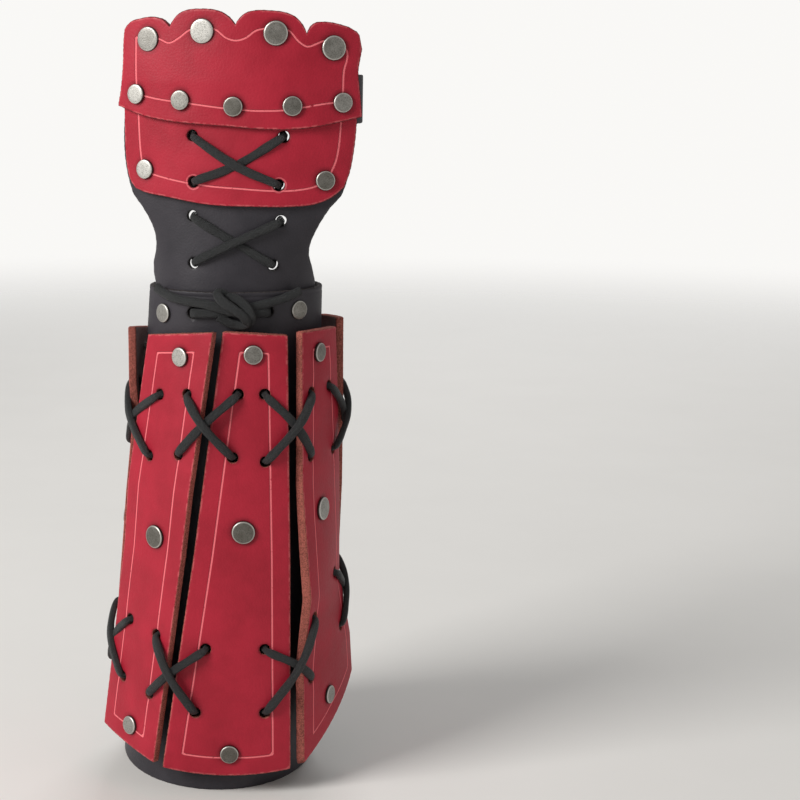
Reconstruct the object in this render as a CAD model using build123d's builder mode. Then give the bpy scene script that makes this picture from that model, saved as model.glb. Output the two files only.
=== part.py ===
"""Left vambrace: a black leather sleeve for the forearm, five red splints laced side by side
over it, and a leather guard for the back of the hand that bends at the wrist.

The frame's origin lies under the middle of the whole part, on the surface that it stands on.
+X is to the right as the back of the arm is seen, +Y points into the arm and +Z to the hand."""

import os
from math import asin, cos, degrees, hypot, pi, radians, sin, sqrt, tan

from build123d import *

os.makedirs("parts", exist_ok=True)

right_angle = 90

# Leathers
sleeve_wall = 2.5
splint_wall = 4
guard_wall = 2.5
plate_wall = 3
strap_wall = 2.5
seat_gap = 0.3
overrun = 12

# Sleeve: a cone of oval section that stands on its elbow end
sleeve_height = 254
elbow_x = -9.5
elbow_y = 71.5
elbow_half_width = 50.5
elbow_half_depth = 62.6
wrist_x = 0
wrist_y = 45
wrist_half_width = 43.2
wrist_half_depth = 33
slit_width = 12

# The middle of the whole part, seen from above, from the middle of the wrist's front
middle_x = -3.72
middle_y = 63.57

# Splints: height, then the left and right ends of each level, across and forward of the
# sleeve's middle, as shares of its half width and half depth there
band_height = 18
crown_share = 0.045
level_shares = {
    "splint_far_left": [
        (1.017, (-0.997, -0.68), (-1.222, 0.273)),
        (0.869, (-0.979, -0.617), (-1.165, 0.339)),
        (0.788, (-1.02, -0.584), (-1.098, 0.357)),
        (0.627, (-0.995, -0.528), (-1.127, 0.387)),
        (0.347, (-1.05, -0.453), (-1.137, 0.414)),
        (0.034, (-1.08, -0.33), (-1.229, 0.416)),
    ],
    "splint_left": [
        (1.017, (-0.956, 0.568), (-0.229, 1.342)),
        (0.661, (-1.105, 0.532), (-0.42, 1.211)),
        (0.525, (-1.102, 0.523), (-0.465, 1.175)),
        (0.034, (-1.229, 0.51), (-0.666, 1.062)),
    ],
    "splint_middle": [
        (1.017, (-0.119, 1.197), (0.578, 1.197)),
        (0.525, (-0.344, 1.119), (0.677, 1.119)),
        (0.034, (-0.579, 1.073), (0.738, 1.073)),
    ],
    "splint_right": [
        (1.017, (0.744, 1.139), (1.147, 0.351)),
        (0.678, (0.785, 1.096), (1.236, 0.212)),
        (0.43, (0.902, 1.074), (1.257, 0.114)),
        (0.28, (0.838, 1.063), (1.389, 0.038)),
        (0.034, (0.867, 1.049), (1.472, -0.062)),
    ],
    "splint_far_right": [
        (1.017, (1.246, 0.187), (1.044, -0.564)),
        (0.83, (1.259, 0.178), (1.04, -0.501)),
        (0.636, (1.266, 0.094), (1.035, -0.533)),
        (0.4, (1.238, 0.013), (1.023, -0.569)),
        (0.034, (1.301, -0.087), (0.991, -0.622)),
    ],
}

# Cut ends of each splint as shares of the splints' height: foot left, foot right, top left, top right
cut_shares = {
    "splint_far_left": (0.14, 0.114, 0.97, 0.99),
    "splint_left": (0.1055, 0.068, 0.9805, 1.002),
    "splint_middle": (0.0593, 0.056, 1.0, 0.993),
    "splint_right": (0.065, 0.185, 0.998, 0.992),
    "splint_far_right": (0.195, 0.237, 1.0085, 1.0),
}
foot_sag_shares = {
    "splint_far_left": 0.005,
    "splint_left": -0.01,
    "splint_middle": 0.06,
    "splint_right": 0.005,
    "splint_far_right": 0.005,
}

# Rivets of each splint: across from its left end, and up, as shares of its width and of the
# splints' height
rivet_shares = {
    "splint_far_left": [(0.5, 0.94), (0.5, 0.56), (0.5, 0.19)],
    "splint_left": [(0.591, 0.944), (0.567, 0.558), (0.542, 0.132)],
    "splint_middle": [(0.49, 0.953), (0.498, 0.58), (0.513, 0.094)],
    "splint_right": [(0.42, 0.948), (0.4, 0.61), (0.41, 0.184)],
    "splint_far_right": [(0.5, 0.94), (0.5, 0.6), (0.5, 0.3)],
}

# Lace holes beside each gap between splints: across and up, in four pairs from the top
gap_shares = {
    ("splint_far_left", "splint_left"): [
        ((0.76, 0.867), (0.354, 0.86)),
        ((0.76, 0.734), (0.323, 0.727)),
        ((0.78, 0.375), (0.298, 0.363)),
        ((0.78, 0.235), (0.288, 0.231)),
    ],
    ("splint_left", "splint_middle"): [
        ((0.765, 0.869), (0.318, 0.871)),
        ((0.765, 0.741), (0.317, 0.738)),
        ((0.775, 0.349), (0.235, 0.326)),
        ((0.786, 0.216), (0.208, 0.185)),
    ],
    ("splint_middle", "splint_right"): [
        ((0.68, 0.871), (0.21, 0.868)),
        ((0.714, 0.729), (0.181, 0.733)),
        ((0.765, 0.325), (0.12, 0.384)),
        ((0.782, 0.184), (0.12, 0.248)),
    ],
    ("splint_right", "splint_far_right"): [
        ((0.684, 0.871), (0.27, 0.87)),
        ((0.773, 0.728), (0.27, 0.735)),
        ((0.704, 0.449), (0.26, 0.46)),
        ((0.747, 0.319), (0.26, 0.33)),
    ],
}

# Laces
lace_radius = 2.2
lace_bend = 3.6
lace_arch = 12
lace_hole_room = 0.7
lace_lift = 0.8
lace_tail = 0.6
lace_crown = 4.2
lace_step = 6.1

# Rivets
post_radius = 1.5
post_room = 0.3
small_cap_radius = 4.7
large_cap_radius = 5.8
cap_height = 1.6
cap_rim = 0.9
cap_bevel = 0.8
cap_gap = 0.3
back_radius = 3.8
back_height = 1
back_gap = 1.1

# Guard for the back of the hand: a level arc at the wrist opens to a wider one at the knuckles
fold_rise = 1.5
fold_width = 18
flex_down = 25
cuff_gap = 1.2
cuff_depth = 24
guard_front = 14.8
cuff_half_width = 36.4
cuff_crown = 18.4
back_arc_radius = 120
back_arc_x = 22
back_arc_front = 12.8
guard_left = -62
guard_right = 66
neck_height = 40
guard_rise = 138
cuff_rivet_shares = [(-0.597, 0.953), (0.506, 0.961)]
cuff_hole_shares = [(-0.317, 0.9587), (0.24, 0.9626)]

# Guard base: its outline, as shares of its width and of its height over the sleeve
base_left = -51.6
base_width = 104
base_height = 126
base_shares = [
    (0.011, 0.972), (0, 0.9), (0, 0.372), (0.048, 0.315), (0.091, 0.251), (0.11, 0.174), (0.097, 0.089),
    (0.08, -0.02), (0.892, -0.02), (0.864, 0.068), (0.842, 0.132), (0.846, 0.16), (0.872, 0.235),
    (0.93, 0.321), (0.99, 0.377), (1, 0.52), (1, 0.9), (0.94, 0.948), (0.82, 0.959), (0.675, 0.992),
    (0.494, 0.988), (0.342, 0.996), (0.192, 0.98),
]
base_hole_shares = [(0.291, 0.2865), (0.704, 0.272), (0.295, 0.1063), (0.673, 0.098)]

# Hand plate: its outline, as shares of its width and height
hand_plate_left = -54.5
hand_plate_width = 112
hand_plate_rise = 41.2
hand_plate_height = 55
hand_plate_shares = [
    (0, 1), (0, 0.449), (0.024, 0.204), (0.046, 0.127), (0.18, 0.071), (0.367, 0.013), (0.554, 0),
    (0.738, 0.004), (0.832, 0.018), (0.904, 0.087), (0.952, 0.176), (0.972, 0.287), (1, 0.676), (1, 1),
]
hand_plate_rivet_shares = [(0.092, 0.307), (0.867, 0.229)]
hand_plate_hole_shares = [(0.299, 0.611), (0.689, 0.607), (0.303, 0.209), (0.669, 0.191)]

# Knuckle plate: its foot from right to left, its scalloped top and its right side, as shares of
# its width and height
knuckle_left = -57.7
knuckle_width = 117.8
knuckle_rise = 77.9
knuckle_height = 56.2
knuckle_lean_rise = 100
knuckle_foot_shares = [
    (1, 0.103), (0.995, 0.096), (0.794, 0.016), (0.682, 0), (0.466, 0.023), (0.202, 0.066),
    (0.093, 0.11), (0, 0.181), (0.024, 0.53), (0.028, 0.749), (0.034, 0.842),
]
scallop_shares = [
    ((0.12, 0.945), (0.222, 0.856)),
    ((0.36, 1), (0.488, 0.87)),
    ((0.655, 0.975), (0.775, 0.795)),
    ((0.885, 0.88), (0.985, 0.76)),
    ((0.998, 0.715), (0.997, 0.674)),
]
knuckle_right_shares = [(0.997, 0.674), (0.981, 0.48), (0.99, 0.286), (1, 0.103)]
knuckle_top_rivet_shares = [(0.134, 0.749), (0.354, 0.813), (0.648, 0.795), (0.88, 0.674)]
knuckle_foot_rivet_shares = [(0.081, 0.288), (0.264, 0.242), (0.478, 0.192), (0.715, 0.198), (0.918, 0.224)]

# Palm strap: it starts and ends behind the guard base, at shares of the guard's width, and runs
# round the palm through shares of its width and of the depth from each end to the palm
strap_width = 23
strap_rise = 80
strap_bend = 7
palm_left = -53
palm_width = 113.5
palm_depth = 70
strap_start_shares = (0.23, 0.17, 0.13)
strap_end_shares = (0.905, 0.86, 0.805)
palm_start_shares = [(0, 0.3586), (0.026, 0.8076), (0.15, 1)]
palm_end_shares = [(0.731, 1), (0.925, 0.837), (1, 0.47), (1, 0.185)]

# Wrist tie: each strand's turn from the sleeve's front, as a share of a right angle, its height
# as a share of the sleeve's, and its stand-off as a share of the tie's own
tie_radius = 2
tie_lift = 0.4
tie_bend = 3
tie_route_shares = [
    [(-0.317, 0.9587, -1.6), (-0.317, 0.9587, 1), (-0.15, 0.953, 1.4), (0.03, 0.967, 1.1),
     (0.2, 0.982, 1.1), (0.42, 0.989, 1), (0.62, 0.993, 1)],
    [(0.24, 0.9626, -1.6), (0.24, 0.9626, 1), (0.12, 0.957, 1.8), (-0.05, 0.971, 3.2),
     (-0.2, 0.985, 1.9), (-0.4, 0.979, 1), (-0.6, 0.983, 1), (-0.78, 0.995, 1)],
    [(-0.22, 0.999, 1.1), (-0.16, 0.992, 3.6), (-0.05, 0.973, 5.4), (0.07, 0.951, 4.2),
     (0.12, 0.936, 1.2)],
]

# Rear lacing
rear_rows = 8
rear_row_foot = 20
rear_row_top = 24
rear_hole_offset = 15


# Heights that follow from these
splint_top = sleeve_height - band_height
hinge_height = sleeve_height + fold_rise
guard_straight_height = sleeve_height + neck_height
guard_top = sleeve_height + guard_rise
hand_plate_foot = sleeve_height + hand_plate_rise
hand_plate_top = hand_plate_foot + hand_plate_height
knuckle_foot = sleeve_height + knuckle_rise
knuckle_top = knuckle_foot + knuckle_height + overrun / 4
knuckle_lean_height = sleeve_height + knuckle_lean_rise
strap_foot = sleeve_height + strap_rise
rear_row_rise = (sleeve_height - rear_row_foot - rear_row_top) / (rear_rows - 1)


def keep(piece, name):
    """Move a finished piece into the part's frame, label it and write it."""
    placed = piece.moved(Location((-middle_x, -middle_y, 0)))
    placed.label = name
    export_step(placed, f"parts/{name}.step")


def sleeve_level(height):
    """The sleeve's middle, half width and half depth, outside, at a height."""
    rise = height / sleeve_height
    return (
        elbow_x + (wrist_x - elbow_x) * rise,
        elbow_y + (wrist_y - elbow_y) * rise,
        elbow_half_width + (wrist_half_width - elbow_half_width) * rise,
        elbow_half_depth + (wrist_half_depth - elbow_half_depth) * rise,
    )


def sleeve_point(turn, height, lift=0):
    """A point over the sleeve's outside, turned from its front in degrees, and its normal."""
    x, y, half_width, half_depth = sleeve_level(height)
    across = sin(radians(turn))
    forward = cos(radians(turn))
    normal = Vector(across / half_width, -forward / half_depth, 0).normalized()
    return Vector(x + half_width * across, y - half_depth * forward, height) + normal * lift, normal


def depth_to_sleeve(point, direction, inset):
    """How far from a point, against a direction, the sleeve's surface at an inset lies."""
    near = 0
    far = 2 * overrun
    for _ in range(40):
        middle = (near + far) / 2
        spot = point - direction * middle
        x, y, half_width, half_depth = sleeve_level(spot.Z)
        across = (spot.X - x) / (half_width - inset)
        forward = (spot.Y - y) / (half_depth - inset)
        if across * across + forward * forward > 1:
            near = middle
        else:
            far = middle
    return near


class Panel:
    """A curved leather face. Each level is an arc through a left end, a crown and a right end,
    and straight lines join the levels."""

    def __init__(self, levels):
        self.levels = sorted(levels)

    def arc(self, level, share, lift=0):
        """A point of one level's arc, at a share from left to right, lifted off the face."""
        height, left_x, left_y, right_x, right_y, crown = level
        half = hypot(right_x - left_x, right_y - left_y) / 2
        radius = (half**2 + crown**2) / (2 * crown)
        spread = asin(half / radius)
        along_x = (right_x - left_x) / half / 2
        along_y = (right_y - left_y) / half / 2
        turn = (2 * share - 1) * spread
        along = (radius + lift) * sin(turn)
        out = crown - radius + (radius + lift) * cos(turn)
        return Vector(
            (left_x + right_x) / 2 + along_x * along + along_y * out,
            (left_y + right_y) / 2 + along_y * along - along_x * out,
            height,
        )

    def point(self, share, height, lift=0):
        """A point of the face at a share across and a height."""
        upper = 1
        while upper < len(self.levels) - 1 and height > self.levels[upper][0]:
            upper += 1
        below = self.levels[upper - 1]
        above = self.levels[upper]
        rise = (height - below[0]) / (above[0] - below[0])
        return self.arc(below, share, lift) * (1 - rise) + self.arc(above, share, lift) * rise

    def normal(self, share, height):
        """The outward normal of the face."""
        step_share = 0.01
        across = self.point(share + step_share, height) - self.point(share - step_share, height)
        rise = sleeve_height * step_share
        up = self.point(share, height + rise) - self.point(share, height - rise)
        return across.cross(up).normalized()

    def share_at(self, x, height):
        """The share across at which the face has a given x."""
        low = 0
        high = 1
        for _ in range(40):
            middle = (low + high) / 2
            if self.point(middle, height).X < x:
                low = middle
            else:
                high = middle
        return low

    def raised(self, lifts):
        """A panel that runs over this one, at a lift for each of its heights."""
        levels = []
        for height, lift in lifts:
            left = self.point(0, height, lift)
            right = self.point(1, height, lift)
            crest = self.point(0.5, height, lift)
            crown = hypot(crest.X - (left.X + right.X) / 2, crest.Y - (left.Y + right.Y) / 2)
            levels.append((height, left.X, left.Y, right.X, right.Y, crown))
        return Panel(levels)

    def seat(self, share, height, lift=0):
        """A plane on the face, facing out."""
        normal = self.normal(share, height)
        return Plane(origin=self.point(share, height) + normal * lift, z_dir=normal)

    def strip(self, level, wall):
        """The cut face of one level: the strip between the outer face and the inner face."""
        with BuildSketch(Plane.XY.offset(level[0])) as strip:
            with BuildLine():
                outer = [self.arc(level, share) for share in (0, 0.5, 1)]
                inner = [self.arc(level, share, -wall) for share in (1, 0.5, 0)]
                ThreePointArc(*[(spot.X, spot.Y) for spot in outer])
                Line((outer[2].X, outer[2].Y), (inner[0].X, inner[0].Y))
                ThreePointArc(*[(spot.X, spot.Y) for spot in inner])
                Line((inner[2].X, inner[2].Y), (outer[0].X, outer[0].Y))
            make_face()
        return strip.sketch


def splint_panel(name):
    """The outer face of a splint."""
    levels = []
    for height_share, left, right in level_shares[name]:
        height = height_share * splint_top
        x, y, half_width, half_depth = sleeve_level(height)
        left_x = x + left[0] * half_width
        left_y = y - left[1] * half_depth
        right_x = x + right[0] * half_width
        right_y = y - right[1] * half_depth
        crown = crown_share * hypot(right_x - left_x, right_y - left_y)
        levels.append((height, left_x, left_y, right_x, right_y, crown))
    return Panel(levels)


def seat_hole(plane, radius, wall):
    """Cut a round hole through a wall, square to a plane on it."""
    with Locations(plane.offset(overrun / 2)):
        Hole(radius=radius, depth=overrun + wall)


fold_y = guard_front + guard_wall / 2
cuff_end_y = guard_front + cuff_crown
root_top = hinge_height - guard_wall / 2 - seat_gap


def cuff_arc(height):
    """The guard's level where it stands in the cuff."""
    return (height, wrist_x - cuff_half_width, cuff_end_y, wrist_x + cuff_half_width, cuff_end_y, cuff_crown)


def back_arc(height):
    """The guard's level over the back of the hand."""
    left_y = back_arc_front + back_arc_radius - sqrt(back_arc_radius**2 - (guard_left - back_arc_x) ** 2)
    right_y = back_arc_front + back_arc_radius - sqrt(back_arc_radius**2 - (guard_right - back_arc_x) ** 2)
    half = hypot(guard_right - guard_left, right_y - left_y) / 2
    crown = back_arc_radius - sqrt(back_arc_radius**2 - half**2)
    return (height, guard_left, left_y, guard_right, right_y, crown)


# The leather faces
panels = {name: splint_panel(name) for name in level_shares}
guard = Panel([cuff_arc(hinge_height), back_arc(guard_straight_height), back_arc(guard_top)])
cuff = Panel([cuff_arc(sleeve_height - cuff_depth), cuff_arc(root_top)])
hand_lift = seat_gap + plate_wall
plates_lift = 2 * hand_lift
tip_lift = hand_lift + seat_gap
hand_face = guard.raised([(hand_plate_foot - seat_gap, hand_lift), (hand_plate_top + overrun, hand_lift)])
knuckle_face = guard.raised(
    [(knuckle_foot - overrun / 4, plates_lift), (knuckle_lean_height, plates_lift), (knuckle_top, tip_lift)]
)


def spot_on(panel, left, width, foot, height, spot):
    """The share across and the height on a panel of a spot of an outline."""
    level = foot + spot[1] * height
    return panel.share_at(left + spot[0] * width, level), level


def hand_seat(spot):
    """A plane on the hand plate at a spot of its outline."""
    place = spot_on(hand_face, hand_plate_left, hand_plate_width, hand_plate_foot, hand_plate_height, spot)
    return hand_face.seat(*place)


def knuckle_seat(spot):
    """A plane on the knuckle plate at a spot of its outline."""
    place = spot_on(knuckle_face, knuckle_left, knuckle_width, knuckle_foot, knuckle_height, spot)
    return knuckle_face.seat(*place)


def base_seat(spot):
    """A plane on the guard base at a spot of its outline."""
    return guard.seat(*spot_on(guard, base_left, base_width, sleeve_height, base_height, spot))


def cuff_seat(spot):
    """A plane on the sleeve near the wrist."""
    point, normal = sleeve_point(right_angle * spot[0], spot[1] * sleeve_height)
    return Plane(origin=point, z_dir=normal)


def rear_spot(side, row, lift):
    """A point over a rear lace hole, at a lift, and its normal: side is -1 or 1."""
    height = rear_row_foot + row * rear_row_rise
    half_width = sleeve_level(height)[2]
    turn = 2 * right_angle - side * degrees(asin(rear_hole_offset / half_width))
    return sleeve_point(turn, height, lift)


# Planes that the rivets and laces stand on, facing out
splint_rivets = {
    name: [panels[name].seat(across, up * splint_top) for across, up in rivet_shares[name]] for name in panels
}
splint_holes = {name: [] for name in panels}
gap_holes = {}
for pair_of_names, pairs in gap_shares.items():
    gap_holes[pair_of_names] = []
    for pair in pairs:
        for name, (across, up) in zip(pair_of_names, pair):
            hole = panels[name].seat(across, up * splint_top)
            splint_holes[name].append(hole)
            gap_holes[pair_of_names].append(hole)
hand_rivets = [hand_seat(spot) for spot in hand_plate_rivet_shares]
hand_holes = [hand_seat(spot) for spot in hand_plate_hole_shares]
knuckle_top_rivets = [knuckle_seat(spot) for spot in knuckle_top_rivet_shares]
knuckle_foot_rivets = [knuckle_seat(spot) for spot in knuckle_foot_rivet_shares]
base_holes = [base_seat(spot) for spot in base_hole_shares]
cuff_rivets = [cuff_seat(spot) for spot in cuff_rivet_shares]
cuff_holes = [cuff_seat(spot) for spot in cuff_hole_shares]
rear_holes = []
for row in range(rear_rows):
    for side in (-1, 1):
        point, normal = rear_spot(side, row, 0)
        rear_holes.append(Plane(origin=point, z_dir=normal))


def oval(height, inset):
    """The sleeve's section at a height, smaller by an inset."""
    x, y, half_width, half_depth = sleeve_level(height)
    with BuildSketch(Plane(origin=(x, y, height))) as section:
        Ellipse(half_width - inset, half_depth - inset)
    return section.sketch


def walled(panel, wall):
    """Fill the space between a panel's face and the face that lies a wall behind it."""
    loft([panel.strip(level, wall) for level in panel.levels], ruled=True)


def trim(outline):
    """Keep what an outline on the plane of X and Z covers, seen from the front."""
    extrude(outline, amount=2 * back_arc_radius, both=True, mode=Mode.INTERSECT)


def outline_points(shares, left, width, foot, height):
    """The points of an outline from shares of its width and height."""
    return [(left + across * width, foot + up * height) for across, up in shares]


def punch(planes, radius, wall):
    """Cut a round hole at each plane."""
    for plane in planes:
        seat_hole(plane, radius, wall)


def rivet(plane, cap_radius, grip):
    """A rivet on a plane: a flat cap with a bevelled rim, a post and a back cap under the leather."""
    tail = grip + back_gap
    foot = (Align.CENTER, Align.CENTER, Align.MIN)
    with Locations(plane.offset(-tail - back_height)):
        Cylinder(radius=back_radius, height=back_height, align=foot)
        Cylinder(radius=post_radius, height=back_height + tail + cap_gap + cap_rim, align=foot)
    with Locations(plane.offset(cap_gap)):
        Cylinder(radius=cap_radius, height=cap_rim, align=foot)
    with Locations(plane.offset(cap_gap + cap_rim)):
        Cone(cap_radius, cap_radius - cap_bevel, cap_height - cap_rim, align=foot)


def write_rivets(name, cap_radius, seats):
    """A group of like rivets: each seat is a plane and the depth of leather under it."""
    with BuildPart() as group:
        for plane, grip in seats:
            rivet(plane, cap_radius, grip)
    keep(group.part, name)


def cord(points, bends, radius):
    """A round cord along straight runs joined by arcs. It prints how true its volume is."""
    with BuildLine():
        path = FilletPolyline(*points, radius=bends)
    with BuildSketch(Plane(origin=path @ 0, z_dir=path % 0)) as section:
        Circle(radius)
    tube = sweep(section.sketch, path=path)
    truth = tube.volume / (pi * radius**2 * path.length)
    print(f"cord {path.length:.1f} long, volume over section times length {truth:.4f}")


lace_rise = lace_radius + lace_lift


def crossing(holes, wall, spot, out, over):
    """Two lace strands that cross between four holes: upper left, upper right, lower left and
    lower right. The strand of the hole that over names lies over the other. They cross off a
    spot of the leather, the way that out points."""
    low = spot + out * lace_crown
    high = low + out * lace_step
    for first, last in ((0, 3), (1, 2)):
        start = holes[first]
        end = holes[last]
        route = [
            start.origin - start.z_dir * (wall + lace_tail),
            start.origin + start.z_dir * lace_rise,
            high if first == over else low,
            end.origin + end.z_dir * lace_rise,
            end.origin - end.z_dir * (wall + lace_tail),
        ]
        cord(route, [lace_bend, lace_arch, lace_bend], lace_radius)


def face_crossing(name, panel, holes, wall, over):
    """A crossed lace on one leather face."""
    middle = sum((hole.origin for hole in holes), Vector(0, 0, 0)) / len(holes)
    share = panel.share_at(middle.X, middle.Z)
    with BuildPart() as lace:
        crossing(holes, wall, panel.point(share, middle.Z), panel.normal(share, middle.Z), over)
    keep(lace.part, name)


# Sleeve
with BuildPart() as sleeve:
    loft([oval(0, 0), oval(sleeve_height, 0)], ruled=True)
    loft([oval(0, sleeve_wall), oval(sleeve_height, sleeve_wall)], ruled=True, mode=Mode.SUBTRACT)
    for height in (0, sleeve_height):
        x, y, half_width, half_depth = sleeve_level(height)
        with BuildSketch(Plane.XY.offset(height)):
            with Locations((x, y + half_depth)):
                Rectangle(slit_width, 2 * half_depth)
    loft(ruled=True, mode=Mode.SUBTRACT)
    for name in panels:
        for plane in splint_rivets[name]:
            sunk = plane.offset(-depth_to_sleeve(plane.origin, plane.z_dir, 0))
            with Locations(sunk.offset(sleeve_wall)):
                Hole(radius=post_radius + post_room, depth=3 * sleeve_wall)
    punch(cuff_rivets, post_radius + post_room, sleeve_wall)
    punch(cuff_holes + rear_holes, lace_radius + lace_hole_room, sleeve_wall)
keep(sleeve.part, "sleeve")

# Splints
for name, panel in panels.items():
    foot_left, foot_right, top_left, top_right = [share * splint_top for share in cut_shares[name]]
    foot_middle = (foot_left + foot_right) / 2
    left = panel.point(0, foot_middle)
    right = panel.point(1, foot_middle)
    across = Vector(right.X - left.X, right.Y - left.Y, 0)
    width = across.length
    front = Plane(origin=(left.X, left.Y, 0), x_dir=across, z_dir=(across.Y, -across.X, 0))
    with BuildPart() as splint:
        walled(panel, splint_wall)
        with BuildSketch(front) as outline:
            with BuildLine():
                sag = foot_sag_shares[name] * width
                ThreePointArc((0, foot_left), (width / 2, foot_middle - sag), (width, foot_right))
                Polyline(
                    (width, foot_right),
                    (width + 3 * overrun, foot_right),
                    (width + 3 * overrun, top_right),
                    (width, top_right),
                    (0, top_left),
                    (-3 * overrun, top_left),
                    (-3 * overrun, foot_left),
                    (0, foot_left),
                )
            make_face()
        extrude(amount=4 * overrun, both=True, mode=Mode.INTERSECT)
        punch(splint_rivets[name], post_radius + post_room, splint_wall)
        punch(splint_holes[name], lace_radius + lace_hole_room, splint_wall)
    keep(splint.part, name)

# Guard root: the guard's foot, between the sleeve and the arm
with BuildPart() as root:
    walled(cuff, guard_wall)
    punch(cuff_rivets, post_radius + post_room, sleeve_wall + cuff_gap + guard_wall)
    punch(cuff_holes, lace_radius + lace_hole_room, sleeve_wall + cuff_gap + guard_wall)
keep(root.part, "guard_root")

# Guard base: relieved under its sides, so that it bends at the fold
flex_slope = tan(radians(flex_down))
with BuildPart() as base:
    walled(guard, guard_wall)
    base_points = outline_points(base_shares, base_left, base_width, sleeve_height, base_height)
    with BuildSketch(Plane.XZ) as outline:
        with BuildLine():
            Polyline(*base_points, close=True)
        make_face()
    trim(outline.sketch)
    with BuildSketch(Plane.YZ) as relief:
        with BuildLine():
            Polyline(
                (fold_y, hinge_height),
                (fold_y + back_arc_radius, hinge_height + back_arc_radius * flex_slope),
                (fold_y + back_arc_radius, hinge_height - overrun),
                (fold_y, hinge_height - overrun),
                close=True,
            )
        make_face()
    extrude(relief.sketch, amount=base_width, both=True, mode=Mode.SUBTRACT)
    with Locations(Location((wrist_x, fold_y, hinge_height), (0, right_angle, 0))):
        Cylinder(radius=guard_wall / 2, height=fold_width)
    punch(hand_rivets, post_radius + post_room, hand_lift + guard_wall)
    punch(knuckle_top_rivets + knuckle_foot_rivets, post_radius + post_room, plates_lift + guard_wall)
    punch(hand_holes + base_holes, lace_radius + lace_hole_room, hand_lift + guard_wall)
keep(base.part, "guard_base")

# Hand plate
with BuildPart() as hand_plate:
    walled(hand_face, plate_wall)
    hand_points = outline_points(
        hand_plate_shares, hand_plate_left, hand_plate_width, hand_plate_foot, hand_plate_height
    )
    with BuildSketch(Plane.XZ) as outline:
        with BuildLine():
            Polyline(*hand_points, close=True)
        make_face()
    trim(outline.sketch)
    punch(hand_rivets, post_radius + post_room, plate_wall)
    punch(knuckle_foot_rivets, post_radius + post_room, hand_lift + plate_wall)
    punch(hand_holes, lace_radius + lace_hole_room, plate_wall)
keep(hand_plate.part, "hand_plate")


def knuckle_points(shares):
    """Points of the knuckle plate's outline."""
    return outline_points(shares, knuckle_left, knuckle_width, knuckle_foot, knuckle_height)


# Knuckle plate
with BuildPart() as knuckle_plate:
    walled(knuckle_face, plate_wall)
    with BuildSketch(Plane.XZ) as outline:
        with BuildLine():
            Polyline(*knuckle_points(knuckle_foot_shares))
            start = knuckle_points(knuckle_foot_shares)[-1]
            for scallop in scallop_shares:
                crest, end = knuckle_points(scallop)
                ThreePointArc(start, crest, end)
                start = end
            Polyline(*knuckle_points(knuckle_right_shares))
        make_face()
    trim(outline.sketch)
    punch(knuckle_top_rivets + knuckle_foot_rivets, post_radius + post_room, plate_wall)
keep(knuckle_plate.part, "knuckle_plate")

# Palm strap
strap_sink = guard_wall + seat_gap + strap_wall / 2
strap_level = back_arc(strap_foot + strap_width / 2)
strap_start = [guard.arc(strap_level, share, -strap_sink) for share in strap_start_shares]
strap_end = [guard.arc(strap_level, share, -strap_sink) for share in strap_end_shares]
start_y = strap_start[-1].Y
end_y = strap_end[0].Y
palm_points = outline_points(palm_start_shares, palm_left, palm_width, start_y, palm_depth - start_y)
palm_points += outline_points(palm_end_shares, palm_left, palm_width, end_y, palm_depth - end_y)
palm = [Vector(x, y, strap_level[0]) for x, y in palm_points]
with BuildPart() as palm_strap:
    with BuildLine() as strap_line:
        FilletPolyline(*strap_start, *palm, *strap_end, radius=strap_bend)
    strap_path = strap_line.wire()
    strap_way = strap_path % 0
    with BuildSketch(Plane(origin=strap_path @ 0, x_dir=(strap_way.Y, -strap_way.X, 0), z_dir=strap_way)):
        Rectangle(strap_wall, strap_width)
    sweep(path=strap_path)
    punch(
        [knuckle_foot_rivets[0], knuckle_foot_rivets[-1]],
        post_radius + post_room,
        plates_lift + guard_wall + seat_gap + strap_wall,
    )
keep(palm_strap.part, "palm_strap")

# Rivets
end_seats = []
middle_seats = []
for name in panels:
    seats = []
    for plane in splint_rivets[name]:
        seats.append((plane, depth_to_sleeve(plane.origin, plane.z_dir, sleeve_wall)))
    end_seats += [seats[0], seats[-1]]
    middle_seats += seats[1:-1]
write_rivets("splint_end_rivets", small_cap_radius, end_seats)
write_rivets("splint_middle_rivets", large_cap_radius, middle_seats)
cuff_grip = sleeve_wall + cuff_gap + guard_wall
write_rivets("wrist_rivets", small_cap_radius, [(plane, cuff_grip) for plane in cuff_rivets])
hand_grip = hand_lift + guard_wall
write_rivets("hand_plate_rivets", small_cap_radius, [(plane, hand_grip) for plane in hand_rivets])
top_seats = []
for plane in knuckle_top_rivets:
    lean = (plane.origin.Z - knuckle_lean_height) / (knuckle_top - knuckle_lean_height)
    top_seats.append((plane, plates_lift + (tip_lift - plates_lift) * max(0, lean) + guard_wall))
write_rivets("knuckle_top_rivets", large_cap_radius, top_seats)
foot_seats = [(plane, plates_lift + guard_wall) for plane in knuckle_foot_rivets]
for place in (0, -1):
    foot_seats[place] = (knuckle_foot_rivets[place], plates_lift + guard_wall + seat_gap + strap_wall)
write_rivets("knuckle_foot_rivets", small_cap_radius, foot_seats)

# Laces over the gaps between the splints
gap_names = ("far_left", "left", "right", "far_right")
over_holes = (0, 0, 1, 1)
for gap_name, over, ((left_name, right_name), holes) in zip(gap_names, over_holes, gap_holes.items()):
    for row, four in (("upper", holes[:4]), ("lower", holes[4:])):
        height = sum(hole.origin.Z for hole in four) / 4
        left_edge = panels[left_name].point(1, height)
        right_edge = panels[right_name].point(0, height)
        out = (panels[left_name].normal(1, height) + panels[right_name].normal(0, height)).normalized()
        spot = (left_edge + right_edge) / 2
        spot += out * abs((left_edge - spot).dot(out))
        with BuildPart() as lace:
            crossing(four, splint_wall, spot, out, over)
        keep(lace.part, f"{row}_lace_{gap_name}")

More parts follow.
